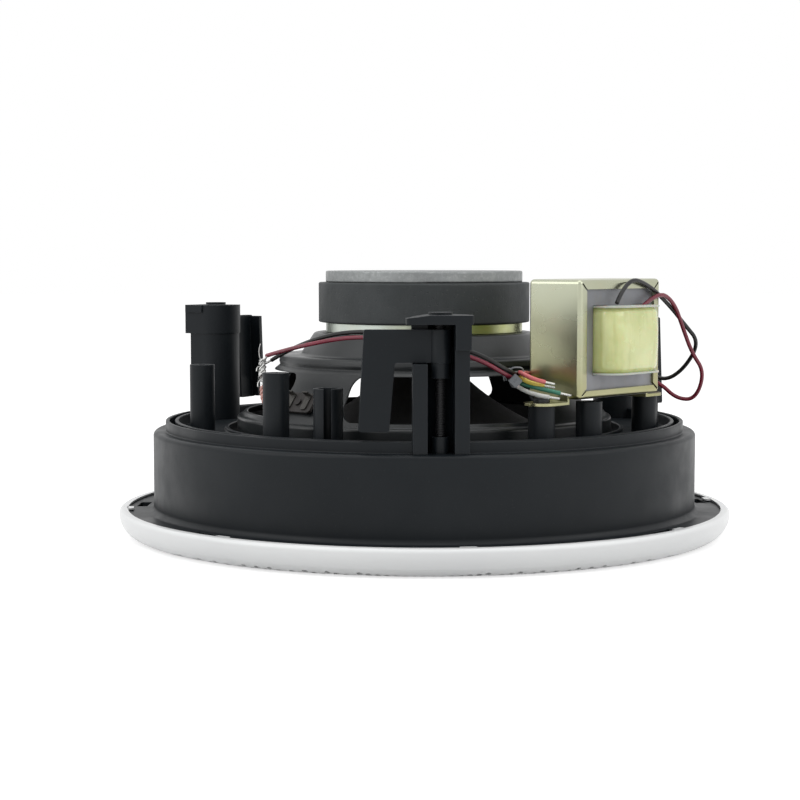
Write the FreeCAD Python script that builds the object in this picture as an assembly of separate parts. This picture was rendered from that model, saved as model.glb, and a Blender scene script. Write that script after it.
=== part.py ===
"""A recessed ceiling loudspeaker with its line transformer, lying face down on its grille.

Millimetres. The origin is the centre of the grille's front face, on the surface it lies on, and +Z runs up
through the driver's magnet. Angles are degrees from +X, anticlockwise seen from above.
"""
import FreeCAD, Part
import math
import os

Vec = FreeCAD.Vector
ORIGIN = Vec(0, 0, 0)
UP = Vec(0, 0, 1)

# Clearances
FIT = 0.3               # between pieces of one assembly that drop in loosely
RUNNING = 0.08          # radial, between a turning screw and its bore
SEAT = 0.1              # axial, under a part that turns

# Housing: one moulding, exported as the flange, the drum, the baffle, the posts and the clamp towers
DRUM_R = 102.5
DRUM_WALL = 2.5
FLANGE_BACK = 9.2
FLANGE_THICK = 2.4
FLANGE_SLOT_STEP = 47.0
FLANGE_SLOT_R = DRUM_R + 5.0
FLANGE_SLOT_LENGTH = 12.0
FLANGE_SLOT_WIDTH = 4.0
DRUM_EDGE_ROUND = 1.6
DRUM_FOOT_ROUND = 2.2
DRUM_CORNER_ROUND = 1.0
FLANGE_EDGE_ROUND = 0.8
BAFFLE_BACK = 39.1
BAFFLE_THICK = 3.0
WELL_R = DRUM_R - 28.3
WELL_RIM_HEIGHT = 1.2
RIB_HEIGHT = 3.9
RIB_WALL = 1.5
OUTER_RIB_R = DRUM_R - DRUM_WALL - 2.1
INNER_RIB_R = OUTER_RIB_R - RIB_WALL - 2.0
SEAM_R = OUTER_RIB_R + 1.0      # where the drum's solid meets the baffle's

# Grille: a perforated steel pan, clipped over the flange by bent tabs
GRILLE_R = DRUM_R + 13.0
GRILLE_SHEET = 0.7
GRILLE_BEND_R = 8.5
GRILLE_FLAT_R = GRILLE_R - GRILLE_BEND_R - 2.0
GRILLE_HOLE_FIELD_R = GRILLE_R - 14.5
GRILLE_HOLE_PITCH = 14.0
GRILLE_HOLE_WIDTH = 7.0
GRILLE_TAB_COUNT = 8
GRILLE_TAB_START = 232.5
GRILLE_TAB_WIDTH = 6.0
GRILLE_TAB_REACH = 3.2

# Posts moulded on the baffle: angle and height of each top
POST_R = 4.6
POST_CIRCLE_R = DRUM_R - 18.0
POST_BORE_R = 1.6
POST_BORE_DEPTH = 9.0
TALL_POST_TOP = 64.2
TALL_POST_ANGLES = (192.4, 232.7)
SHORT_POST_TOP = 54.0
SHORT_POST_ANGLE = 312.9
SLOT_POST_R = 5.1
SLOT_POST_TOP = 59.5
SLOT_POST_ANGLE = 247.3
SLOT_POST_GAP = 2.6
SLOT_POST_WALL = 1.7

# Clamp towers, part of the housing, and what turns in them
CLAMP_COUNT = 3
CLAMP_START = 273.3
CLAMP_AXIS_R = DRUM_R - 8.5
CHANNEL_R = 4.55
TOWER_SHELL = 1.55
TOWER_FACE = 6.0        # from the screw's axis out to the lower front face
TOWER_LEFT = 9.6
TOWER_RIGHT = 8.9
TOWER_EAR = 0.9
TOWER_BACK_BLOCK = 3.0
LEFT_WALL_TOP = 68.9
HOOD_STEP = 73.6
HOOD_FACE = 8.2
ROOF_UNDER = 82.0
ROOF_TOP = 84.2
ROOF_LEFT = 11.6
ROOF_RIGHT = 10.6
ROOF_PAD_R = 4.0
ROOF_PAD_HEIGHT = 1.5
SCREW_BOSS_R = 3.0
SCREW_BOSS_TOP = 44.6

# Clamp screws
CLAMP_SCREW_R = 1.75
CLAMP_SCREW_HEAD_R = 3.4
CLAMP_SCREW_HEAD_HEIGHT = 2.4
CLAMP_SCREW_TIP_GAP = 0.4
CROSS_SLOT_WIDTH = 0.9
CROSS_SLOT_DEPTH = 1.2

# Clamp dogs
DOG_HUB_R = 3.5
DOG_NECK_R = 3.15
DOG_NECK_BOTTOM = 64.1
DOG_BOTTOM = 46.3
DOG_TOP = 80.2
DOG_REACH = 25.3
DOG_LEG_WIDTH = 10.2
DOG_SPLAY = 1.9
DOG_PLATE = 2.8
DOG_WEB_DEPTH = 4.6
DOG_WEB_THICK = 2.0
DOG_RELIEF = 8.0         # how far up the web is cut back at the foot
DOG_ARMPIT_R = 4.0

# Driver basket: pressed steel, exported as its flange, legs, landing and top
BASKET_SHEET = 1.0
BASKET_WALL_R = WELL_R - 3.2
BASKET_FLANGE_R = WELL_R + 8.3
BASKET_SHOULDER_Z = 44.4
LEG_FOOT_R = BASKET_WALL_R - 1.8
LEG_FOOT_Z = 44.9
LEG_TOP_R = LEG_FOOT_R - 12.7
LEG_TOP_Z = 62.0
LANDING_OUT_R = LEG_TOP_R - 2.2
LANDING_IN_R = LANDING_OUT_R - 7.3
LANDING_Z = 67.5
BASKET_TOP_R = LANDING_IN_R - 5.4
BASKET_NECK_R = 17.0
WINDOW_COUNT = 4
WINDOW_START = 6.0
WINDOW_SWEEP = 64.0
WINDOW_BOTTOM = 47.0
WINDOW_TOP = 61.4
WINDOW_CORNER_R = 5.0

# Magnet system
TOP_PLATE_R = BASKET_TOP_R - 4.3
TOP_PLATE_THICK = 3.8
TOP_PLATE_UNDER = 75.8
MAGNET_R = TOP_PLATE_R + 2.7
MAGNET_IN_R = 19.0
MAGNET_THICK = 15.0
BACK_PLATE_R = TOP_PLATE_R
BACK_PLATE_THICK = 4.3
EDGE_CHAMFER = 0.6
POLE_R = 12.4
POLE_TIP_DROP = 0.5
POLE_TIP_ROUND = 0.5
GAP_OUTER_R = 14.9

# Moving parts of the driver
FORMER_R = 12.9
FORMER_WALL = 0.4
FORMER_TOP = 80.6
COIL_WALL = 0.8
COIL_HEIGHT = 7.2
COIL_TOP_MARGIN = 0.5
SURROUND_SHEET = 0.7
SURROUND_OUT_R = BASKET_WALL_R - 0.4
SURROUND_IN_R = SURROUND_OUT_R - 8.2
SURROUND_ROLL = 4.3
SURROUND_LIP = 3.4
CONE_PAPER = 0.8
CONE_NECK_Z = 60.9
CONE_EDGE_R = SURROUND_IN_R - 1.4
CONE_EDGE_Z = 34.5
CONE_MID_SHARE = 0.35   # of the way from the neck out to the edge
CONE_MID_Z = 47.6
DUST_CAP_R = 20.0
DUST_CAP_RISE = 6.5
DUST_CAP_PAPER = 0.6
SPIDER_OUT_R = LANDING_OUT_R - 1.3
SPIDER_CLOTH = 0.5
SPIDER_WAVES = 5
SPIDER_WAVE_HEIGHT = 1.6
GASKET_IN_R = WELL_R - 2.2
GASKET_OUT_R = WELL_R + 2.4
GASKET_THICK = 1.6

# Driver screws, from the front into the baffle
DRIVER_SCREW_COUNT = 4
DRIVER_SCREW_START = 51.0
DRIVER_SCREW_CIRCLE_R = WELL_R + 5.4
DRIVER_SCREW_R = 1.5
DRIVER_SCREW_HEAD_R = 2.7
DRIVER_SCREW_HEAD_HEIGHT = 1.8
DRIVER_SCREW_BITE = 2.2

# Driver terminal strip, on a basket leg
TERMINAL_ANGLE = 227.0
TERMINAL_Z = 51.5
TERMINAL_LENGTH = 15.0
TERMINAL_WIDTH = 8.0
TERMINAL_THICK = 1.2
TERMINAL_RIVET_R = 1.4
TERMINAL_RIVET_HEIGHT = 0.7
TAG_SPACING = 8.0
TAG_WIDTH = 2.6
TAG_THICK = 0.5
TAG_LENGTH = 6.0
TAG_UPTURN = 2.4

# Line transformer: EI-48 core standing on two posts
CORE_CENTRE = (60.6, -49.7)
CORE_TURN = 50.4
CORE_LENGTH = 48.0
CORE_HEIGHT = 40.0
CORE_STACK = 20.0
CORE_TOP = 95.4
CORE_WINDOW_WIDTH = 8.0
CORE_WINDOW_HEIGHT = 24.0
CORE_LEG_WIDTH = 16.0
BOBBIN_CHEEK = 1.0
BOBBIN_TUBE = 0.9
BOBBIN_SIDE = 10.8      # how far the cheeks stand out past the stack
WINDING_STEP_IN = 0.8   # from the cheek's edge in to the winding
WINDING_CORNER_R = 3.0
BRACKET_SHEET = 1.0
BRACKET_TOP_LIP = 3.4
BRACKET_SIDE_LIP = 4.0
BRACKET_BOTTOM_LIP = 2.9
FOOT_UNDER = 53.5
FOOT_SPACING = 64.0
FOOT_WIDTH = 12.0
FOOT_SCREW_R = 1.5
FOOT_SCREW_BITE = 7.0
FOOT_SCREW_HEAD_R = 2.9
FOOT_SCREW_HEAD_HEIGHT = 2.0

# Input block for the primary leads, behind the transformer's far foot
BLOCK_CENTRE = (83.5, -7.5)
BLOCK_CORNER_R = 0.8
BLOCK_CAGE_SETBACK = 0.8
BLOCK_DEPTH = 8.0
BLOCK_LENGTH = 14.0
BLOCK_HEIGHT = 13.9
BLOCK_CAGE_R = 1.9

# Leads
WIRE_R = 0.75
BARE_R = 0.45
TWISTED_R = 0.9
SPLICE_R = 1.1
SPLICE_TOP = (-58.6, -34.3, 66.8)
SPLICE_FOOT = (-58.6, -37.2, 57.6)
TIP_LENGTH = 4.0
TIE_WALL = 0.7
TIE_WIDTH = 2.6
TIE_CENTRE = (32.05, -68.8, 62.7)
TIE_CORNER_R = 1.2
TIE_HALF_WIDTH = 1.85
TIE_HALF_HEIGHT = 2.95

# Routes of the free leads, as points that their runs meet at
PRIMARY_BLACK = [
    (66.8, -62.6, 88.1), (73.0, -56.7, 94.2), (80.9, -49.6, 91.2), (88.9, -37.0, 85.0), (93.4, -28.0, 77.5),
    (97.0, -21.4, 69.5), (92.0, -20.5, 62.5), (95.5, -13.5, 56.5), (96.5, -5.5, 50.5), (87.7, -4.0, 49.5)]
PRIMARY_RED = [
    (77.6, -48.2, 88.2), (83.1, -41.7, 89.6), (89.1, -35.7, 88.3), (94.3, -30.5, 81.0), (98.2, -26.5, 70.5),
    (100.5, -18.5, 61.5), (99.0, -15.5, 54.0), (94.5, -12.0, 50.5), (87.9, -11.0, 50.0)]
SPEAKER_RED = [
    (40.9, -51.9, 62.5), (31.2, -63.6, 64.3), (31.2, -78.5, 63.6), (16.0, -83.0, 71.6), (-18.0, -80.0, 78.3),
    (-43.0, -60.0, 73.8), (-57.0, -35.0, 68.4)]
SPEAKER_BLACK = [
    (40.9, -51.9, 60.9), (31.2, -63.6, 62.7), (31.2, -78.5, 61.7), (15.3, -82.4, 69.8), (-18.0, -79.2, 76.5),
    (-42.3, -59.3, 72.0), (-56.2, -35.6, 66.7)]
TAP_ORANGE = [
    (41.7, -53.4, 62.5), (32.9, -64.2, 64.3), (33.0, -78.2, 64.9), (41.5, -80.0, 62.2), (46.5, -78.0, 60.3)]
TAP_YELLOW = [
    (40.3, -55.1, 60.9), (32.9, -64.2, 62.7), (33.0, -76.0, 62.9), (41.3, -77.4, 60.8), (45.5, -75.5, 59.6)]
TAP_GREEN = [
    (39.3, -56.3, 59.5), (32.9, -64.2, 61.1), (33.0, -74.5, 61.0), (42.0, -78.5, 58.9), (48.0, -79.5, 57.0)]
TAP_WHITE = [
    (37.8, -55.7, 59.5), (31.2, -63.6, 61.1), (31.3, -73.9, 60.2), (38.5, -80.2, 58.0), (43.5, -82.5, 56.4)]
DRIVER_PAIR = [
    (-58.6, -37.3, 57.4), (-58.6, -39.3, 51.9), (-54.4, -43.9, 49.9), (-49.6, -46.0, 52.9)]


def outline(points, closed=True):
    """Edges through (x, y[, corner radius]) points, each corner rounded by its own radius."""
    corners = []
    count = len(points)
    for i, point in enumerate(points):
        here = Vec(point[0], point[1], 0)
        radius = point[2] if len(point) > 2 else 0.0
        if radius == 0.0:
            corners.append((here, None, here))
            continue
        to_last = (Vec(*points[i - 1][:2], 0) - here).normalize()
        to_next = (Vec(*points[(i + 1) % count][:2], 0) - here).normalize()
        half = to_last.getAngle(to_next) / 2
        reach = radius / math.tan(half)
        centre = here + (to_last + to_next).normalize() * (radius / math.sin(half))
        middle = centre + (here - centre).normalize() * radius
        corners.append((here + to_last * reach, middle, here + to_next * reach))
    edges = []
    for i, (start, middle, end) in enumerate(corners):
        if middle is not None:
            edges.append(Part.Arc(start, middle, end).toShape())
        if closed or i < count - 1:
            following = corners[(i + 1) % count][0]
            if end.distanceToPoint(following) > 1e-6:
                edges.append(Part.LineSegment(end, following).toShape())
    return edges


def beside(points, offset):
    """The same open line moved sideways by the offset, to the left where that is positive."""
    ways = []
    for a, b in zip(points, points[1:]):
        ways.append(Vec(b[0] - a[0], b[1] - a[1], 0).normalize())
    ways = [ways[0]] + ways + [ways[-1]]
    moved = []
    for point, way_in, way_out in zip(points, ways, ways[1:]):
        left_in = Vec(-way_in.y, way_in.x, 0)
        left_out = Vec(-way_out.y, way_out.x, 0)
        shift = (left_in + left_out) * (offset / (1 + left_in.dot(left_out)))
        bend = way_in.x * way_out.y - way_in.y * way_out.x
        radius = point[2] if len(point) > 2 else 0.0
        if radius > 0:
            radius -= math.copysign(offset, offset * bend)
        moved.append((point[0] + shift.x, point[1] + shift.y, radius))
    return moved


def face_of(edges):
    """A flat face inside closed edges."""
    return Part.Face(Part.Wire(edges))


def sheet_face(points, thickness):
    """The section of a bent sheet: the line itself on one side, its offset on the other."""
    near = outline(points, closed=False)
    far = outline(beside(points, thickness), closed=False)
    ends = []
    for i in (0, -1):
        near_end = Vec(points[i][0], points[i][1], 0)
        far_point = beside(points, thickness)[i]
        ends.append(Part.LineSegment(near_end, Vec(far_point[0], far_point[1], 0)).toShape())
    return Part.Face(Part.Wire(Part.__sortEdges__(near + far + ends)))


def stood_up(shape):
    """The shape turned from the XY plane into the XZ plane, y becoming z."""
    shape.rotate(ORIGIN, Vec(1, 0, 0), 90)
    return shape


def turned(face, sweep=360.0):
    """A solid of revolution about Z from a face drawn as (radius, height)."""
    return stood_up(face).revolve(ORIGIN, UP, sweep)


def lathe(points):
    """A solid of revolution from a closed outline of (radius, height[, corner radius])."""
    return turned(face_of(outline(points)))


def plate(points, bottom, top):
    """An upright prism over a closed plan outline."""
    face = face_of(outline(points))
    face.translate(Vec(0, 0, bottom))
    return face.extrude(Vec(0, 0, top - bottom))


def wall(points, near, far):
    """A prism along Y over a closed outline of (x, z), from y = near to y = far."""
    face = stood_up(face_of(outline(points)))
    face.translate(Vec(0, near, 0))
    return face.extrude(Vec(0, far - near, 0))


def rod(radius, bottom, top, x=0.0, y=0.0):
    """An upright cylinder."""
    return Part.makeCylinder(radius, top - bottom, Vec(x, y, bottom))


def tube(outer, inner, bottom, top):
    """An upright tube about Z."""
    return rod(outer, bottom, top).cut(rod(inner, bottom - 1, top + 1))


def box(x_low, x_high, y_low, y_high, z_low, z_high):
    """A box between the given coordinates."""
    return Part.makeBox(x_high - x_low, y_high - y_low, z_high - z_low, Vec(x_low, y_low, z_low))


def around(shape, angle):
    """A copy turned about Z."""
    copy = shape.copy()
    copy.rotate(ORIGIN, UP, angle)
    return copy


def polar(radius, angle):
    """The plan point at a radius and an angle."""
    return radius * math.cos(math.radians(angle)), radius * math.sin(math.radians(angle))


def on_plan(point):
    """A point whose plan place is drawn for a drum of 102.5 mm, carried out or in with this drum."""
    share = DRUM_R / 102.5
    height = point[2] if len(point) > 2 else 0.0
    return Vec(point[0] * share, point[1] * share, height)


def joined(shapes):
    """One solid from touching shapes."""
    return shapes[0].multiFuse(shapes[1:]).removeSplitter()


def grille_rim():
    """The pan's rolled rim and the tabs that hold it on the flange."""
    rim_top = FLANGE_BACK + SEAT + GRILLE_SHEET
    rim = turned(sheet_face(
        [(GRILLE_FLAT_R, 0), (GRILLE_R, 0, GRILLE_BEND_R), (GRILLE_R, rim_top)], GRILLE_SHEET))
    tabs = []
    for k in range(GRILLE_TAB_COUNT):
        tab = box(GRILLE_R - GRILLE_SHEET - GRILLE_TAB_REACH, GRILLE_R - GRILLE_SHEET / 2,
                  -GRILLE_TAB_WIDTH / 2, GRILLE_TAB_WIDTH / 2, FLANGE_BACK + SEAT, rim_top)
        tabs.append(around(tab, GRILLE_TAB_START + k * 360 / GRILLE_TAB_COUNT))
    return joined([rim] + tabs)


def grille():
    """The pan's flat perforated face."""
    disc = Part.makeCircle(GRILLE_FLAT_R)
    holes = []
    row_step = GRILLE_HOLE_PITCH * math.sin(math.radians(60))
    rows = int(GRILLE_HOLE_FIELD_R / row_step)
    columns = int(GRILLE_HOLE_FIELD_R / GRILLE_HOLE_PITCH) + 1
    corner_r = GRILLE_HOLE_WIDTH / math.sqrt(3)
    for row in range(-rows, rows + 1):
        for column in range(-columns, columns + 1):
            x = (column + (row % 2) / 2) * GRILLE_HOLE_PITCH
            y = row * row_step
            if math.hypot(x, y) + corner_r < GRILLE_HOLE_FIELD_R:
                corners = [Vec(x, y, 0) + Vec(*polar(corner_r, 30 - 60 * k), 0) for k in range(7)]
                holes.append(Part.makePolygon(corners))
    face = Part.Face([Part.Wire(disc)] + holes)
    return face.extrude(Vec(0, 0, GRILLE_SHEET))


def clamp_angles():
    """The angle of each clamp's screw."""
    return [CLAMP_START - k * 360 / CLAMP_COUNT for k in range(CLAMP_COUNT)]


def at_clamp(shape, angle):
    """A shape drawn about a screw's axis, with outward along -Y, moved to the clamp at this angle."""
    placed = shape.copy()
    placed.translate(Vec(0, -CLAMP_AXIS_R, 0))
    placed.rotate(ORIGIN, UP, angle - 270)
    return placed


def tower():
    """One clamp tower: an open channel round the screw, a cut-down left wall and a roof."""
    shell_r = CHANNEL_R + TOWER_SHELL
    block_x = math.sqrt(shell_r ** 2 - TOWER_BACK_BLOCK ** 2)
    hub_room = DOG_PLATE / 2 + FIT + 0.5
    gap_x = math.sqrt(CHANNEL_R ** 2 - hub_room ** 2)
    gap_shell_x = math.sqrt(shell_r ** 2 - hub_room ** 2)

    def right_side(face):
        """The right wall's corners, from the back round to the channel's front corner."""
        ear = TOWER_RIGHT + TOWER_EAR
        return [
            Part.LineSegment(Vec(block_x, TOWER_BACK_BLOCK), Vec(ear, TOWER_BACK_BLOCK)),
            Part.LineSegment(Vec(ear, TOWER_BACK_BLOCK), Vec(ear, -TOWER_EAR)),
            Part.LineSegment(Vec(ear, -TOWER_EAR), Vec(TOWER_RIGHT, -TOWER_EAR)),
            Part.LineSegment(Vec(TOWER_RIGHT, -TOWER_EAR), Vec(TOWER_RIGHT, -face)),
            Part.LineSegment(Vec(TOWER_RIGHT, -face), Vec(CHANNEL_R, -face)),
            Part.LineSegment(Vec(CHANNEL_R, -face), Vec(CHANNEL_R, 0)),
        ]

    def prism(curves, bottom, top):
        """A prism over plan curves given in order."""
        wire = Part.Wire([curve.toShape() for curve in curves])
        face = Part.Face(wire)
        face.translate(Vec(0, 0, bottom))
        return face.extrude(Vec(0, 0, top - bottom))

    low = right_side(TOWER_FACE) + [
        Part.Arc(Vec(CHANNEL_R, 0), Vec(0, CHANNEL_R), Vec(-CHANNEL_R, 0)),
        Part.LineSegment(Vec(-CHANNEL_R, 0), Vec(-CHANNEL_R, -TOWER_FACE)),
        Part.LineSegment(Vec(-CHANNEL_R, -TOWER_FACE), Vec(-TOWER_LEFT, -TOWER_FACE)),
        Part.LineSegment(Vec(-TOWER_LEFT, -TOWER_FACE), Vec(-TOWER_LEFT, TOWER_BACK_BLOCK)),
        Part.LineSegment(Vec(-TOWER_LEFT, TOWER_BACK_BLOCK), Vec(-block_x, TOWER_BACK_BLOCK)),
        Part.Arc(Vec(-block_x, TOWER_BACK_BLOCK), Vec(0, shell_r), Vec(block_x, TOWER_BACK_BLOCK)),
    ]

    def open_left(face):
        """The plan above the left wall, where the shell stops short so that the dog can turn."""
        return right_side(face) + [
            Part.Arc(Vec(CHANNEL_R, 0), Vec(0, CHANNEL_R), Vec(-gap_x, hub_room)),
            Part.LineSegment(Vec(-gap_x, hub_room), Vec(-gap_shell_x, hub_room)),
            Part.Arc(Vec(-gap_shell_x, hub_room), Vec(0, shell_r), Vec(block_x, TOWER_BACK_BLOCK)),
        ]

    roof = plate([
        (-ROOF_LEFT, -HOOD_FACE, 1.0), (ROOF_RIGHT, -HOOD_FACE, 1.0), (ROOF_RIGHT, TOWER_BACK_BLOCK),
        (shell_r, TOWER_BACK_BLOCK), (shell_r / 2, shell_r, 1.5), (-shell_r / 2, shell_r, 1.5),
        (-shell_r, TOWER_BACK_BLOCK), (-ROOF_LEFT, TOWER_BACK_BLOCK)], ROOF_UNDER, ROOF_TOP)
    pad = rod(ROOF_PAD_R, ROOF_TOP, ROOF_TOP + ROOF_PAD_HEIGHT)
    socket = rod(CLAMP_SCREW_R + RUNNING, ROOF_UNDER - 1, ROOF_TOP)
    return joined([
        prism(low, BAFFLE_BACK, LEFT_WALL_TOP),
        prism(open_left(TOWER_FACE), LEFT_WALL_TOP, HOOD_STEP),
        prism(open_left(HOOD_FACE), HOOD_STEP, ROOF_UNDER),
        roof,
        pad,
        rod(SCREW_BOSS_R, BAFFLE_BACK, SCREW_BOSS_TOP),
    ]).cut(socket).cut(screw_bore())


def foot_points():
    """Plan points of the transformer's two foot holes."""
    along = Vec(*polar(1, CORE_TURN), 0)
    centre = on_plan(CORE_CENTRE)
    return [centre + along * (side * FOOT_SPACING / 2) for side in (-1, 1)]


def posts():
    """The round posts on the baffle, those under the transformer included, and the slotted one."""
    solids = []
    bores = []
    round_posts = [(*polar(POST_CIRCLE_R, angle), TALL_POST_TOP) for angle in TALL_POST_ANGLES]
    round_posts.append((*polar(POST_CIRCLE_R, SHORT_POST_ANGLE), SHORT_POST_TOP))
    round_posts += [(point.x, point.y, FOOT_UNDER) for point in foot_points()]
    for x, y, top in round_posts:
        solids.append(rod(POST_R, BAFFLE_BACK, top, x, y))
        bores.append(rod(POST_BORE_R, top - POST_BORE_DEPTH, top + 1, x, y))
    x, y = polar(POST_CIRCLE_R, SLOT_POST_ANGLE)
    solids.append(rod(SLOT_POST_R, BAFFLE_BACK, SLOT_POST_TOP, x, y))
    floor = BAFFLE_BACK + SLOT_POST_WALL
    bores.append(rod(SLOT_POST_R - SLOT_POST_WALL, floor, SLOT_POST_TOP + 1, x, y))
    bores.append(box(x - SLOT_POST_GAP / 2, x + SLOT_POST_GAP / 2, y - SLOT_POST_R - 1, y,
                     floor, SLOT_POST_TOP + 1))
    return Part.makeCompound(solids).cut(Part.makeCompound(bores))


def housing_shell():
    """The housing's whole turned shape: flange, drum and baffle with its ribs."""
    drum_in = DRUM_R - DRUM_WALL
    baffle_front = BAFFLE_BACK - BAFFLE_THICK
    flange_r = GRILLE_R - GRILLE_SHEET - FIT
    flange_front = FLANGE_BACK - FLANGE_THICK
    rib_top = BAFFLE_BACK + RIB_HEIGHT
    rib_edge = RIB_WALL / 4
    return lathe([
        (WELL_R, baffle_front), (drum_in, baffle_front, DRUM_CORNER_ROUND), (drum_in, flange_front),
        (flange_r, flange_front), (flange_r, FLANGE_BACK, FLANGE_EDGE_ROUND),
        (DRUM_R, FLANGE_BACK, DRUM_FOOT_ROUND), (DRUM_R, BAFFLE_BACK, DRUM_EDGE_ROUND),
        (OUTER_RIB_R, BAFFLE_BACK), (OUTER_RIB_R, rib_top, rib_edge),
        (OUTER_RIB_R - RIB_WALL, rib_top, rib_edge), (OUTER_RIB_R - RIB_WALL, BAFFLE_BACK),
        (INNER_RIB_R, BAFFLE_BACK), (INNER_RIB_R, rib_top, rib_edge),
        (INNER_RIB_R - RIB_WALL, rib_top, rib_edge), (INNER_RIB_R - RIB_WALL, BAFFLE_BACK),
        (WELL_R + RIB_WALL, BAFFLE_BACK), (WELL_R + RIB_WALL, BAFFLE_BACK + WELL_RIM_HEIGHT, rib_edge),
        (WELL_R, BAFFLE_BACK + WELL_RIM_HEIGHT, rib_edge)])


def flange():
    """The ceiling flange with its slots."""
    ring = housing_shell().common(rod(GRILLE_R, 0, FLANGE_BACK))
    slots = []
    for k in (-3, -2, -1, 1, 2, 3):
        slot = box(FLANGE_SLOT_R - FLANGE_SLOT_WIDTH / 2, FLANGE_SLOT_R + FLANGE_SLOT_WIDTH / 2,
                   -FLANGE_SLOT_LENGTH / 2, FLANGE_SLOT_LENGTH / 2, 0, FLANGE_BACK + 1)
        slots.append(around(slot, CLAMP_START + k * FLANGE_SLOT_STEP))
    return ring.cut(Part.makeCompound(slots))


def housing():
    """The drum's wall and shoulder, from the flange's back to the baffle."""
    return housing_shell().common(tube(GRILLE_R, SEAM_R, FLANGE_BACK, BAFFLE_BACK))


def screw_bore():
    """The bore that a clamp screw turns in, drawn about its axis."""
    return rod(CLAMP_SCREW_R + RUNNING, BAFFLE_BACK - BAFFLE_THICK - 1, SCREW_BOSS_TOP + 1)


def baffle():
    """The ribbed disc round the driver's well, clear of the towers' feet."""
    baffle_front = BAFFLE_BACK - BAFFLE_THICK
    rib_top = BAFFLE_BACK + RIB_HEIGHT
    disc = housing_shell().common(rod(SEAM_R, FLANGE_BACK, rib_top + 1))
    clear = box(-TOWER_LEFT, TOWER_RIGHT + TOWER_EAR, -HOOD_FACE, TOWER_BACK_BLOCK, BAFFLE_BACK, rib_top + 1)
    cutters = []
    for angle in clamp_angles():
        cutters += [at_clamp(clear, angle), at_clamp(screw_bore(), angle)]
    for k in range(DRIVER_SCREW_COUNT):
        x, y = polar(DRIVER_SCREW_CIRCLE_R, DRIVER_SCREW_START + k * 360 / DRIVER_SCREW_COUNT)
        cutters.append(rod(DRIVER_SCREW_R, baffle_front - 1, baffle_front + DRIVER_SCREW_BITE, x, y))
    return disc.cut(Part.makeCompound(cutters)).removeSplitter()


def clamp_dog():
    """One clamp dog, drawn about its screw: hub, arm to the left, and a leg down from the arm's end."""
    half = DOG_PLATE / 2
    inner = DOG_REACH - DOG_LEG_WIDTH
    web_in = DOG_REACH - DOG_WEB_THICK
    arm_under = LEFT_WALL_TOP + FIT
    hub = rod(DOG_HUB_R, arm_under, DOG_TOP)
    neck = rod(DOG_NECK_R, DOG_NECK_BOTTOM, arm_under)
    arm_and_leg = wall([
        (0, arm_under), (0, DOG_TOP), (-DOG_REACH, DOG_TOP, 1.5),
        (-DOG_REACH - DOG_SPLAY, DOG_BOTTOM, 0.8), (-inner - DOG_SPLAY, DOG_BOTTOM, 0.8),
        (-inner, arm_under, DOG_ARMPIT_R)], -half, half)
    web = wall([
        (-web_in, DOG_TOP), (-DOG_REACH, DOG_TOP), (-DOG_REACH - DOG_SPLAY, DOG_BOTTOM),
        (-web_in - DOG_SPLAY, DOG_BOTTOM)], half, half + DOG_WEB_DEPTH)
    slope = wall([
        (-web_in + 1, DOG_BOTTOM - 1), (-DOG_REACH - DOG_SPLAY - 1, DOG_BOTTOM - 1),
        (-DOG_REACH - DOG_SPLAY - 1, DOG_BOTTOM + DOG_RELIEF), (-web_in + 1, DOG_BOTTOM + DOG_RELIEF)],
        half + DOG_PLATE, half + DOG_WEB_DEPTH + 1)
    bore = rod(CLAMP_SCREW_R + RUNNING, DOG_NECK_BOTTOM - 1, DOG_TOP + 1)
    dog = joined([hub, neck, arm_and_leg, web.cut(slope)])
    return dog.cut(bore)


def clamp_screw():
    """One clamp screw, drawn about its axis: a pan head under the baffle and a long shank."""
    head_top = BAFFLE_BACK - BAFFLE_THICK - SEAT
    head_under = head_top - CLAMP_SCREW_HEAD_HEIGHT
    tip = ROOF_TOP - CLAMP_SCREW_TIP_GAP
    screw = lathe([
        (0, head_under), (CLAMP_SCREW_HEAD_R, head_under, 1.0), (CLAMP_SCREW_HEAD_R, head_top),
        (CLAMP_SCREW_R, head_top), (CLAMP_SCREW_R, tip, 0.4), (0, tip)])
    return screw.cut(cross_slot(CLAMP_SCREW_HEAD_R, head_under))


def cross_slot(head_r, bottom):
    """The cross recess of a screw head that faces down, as a cutter at the head's lower face."""
    arm = head_r * 0.62
    half = CROSS_SLOT_WIDTH / 2
    top = bottom + CROSS_SLOT_DEPTH
    return box(-arm, arm, -half, half, bottom - 1, top).fuse(box(-half, half, -arm, arm, bottom - 1, top))


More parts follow.
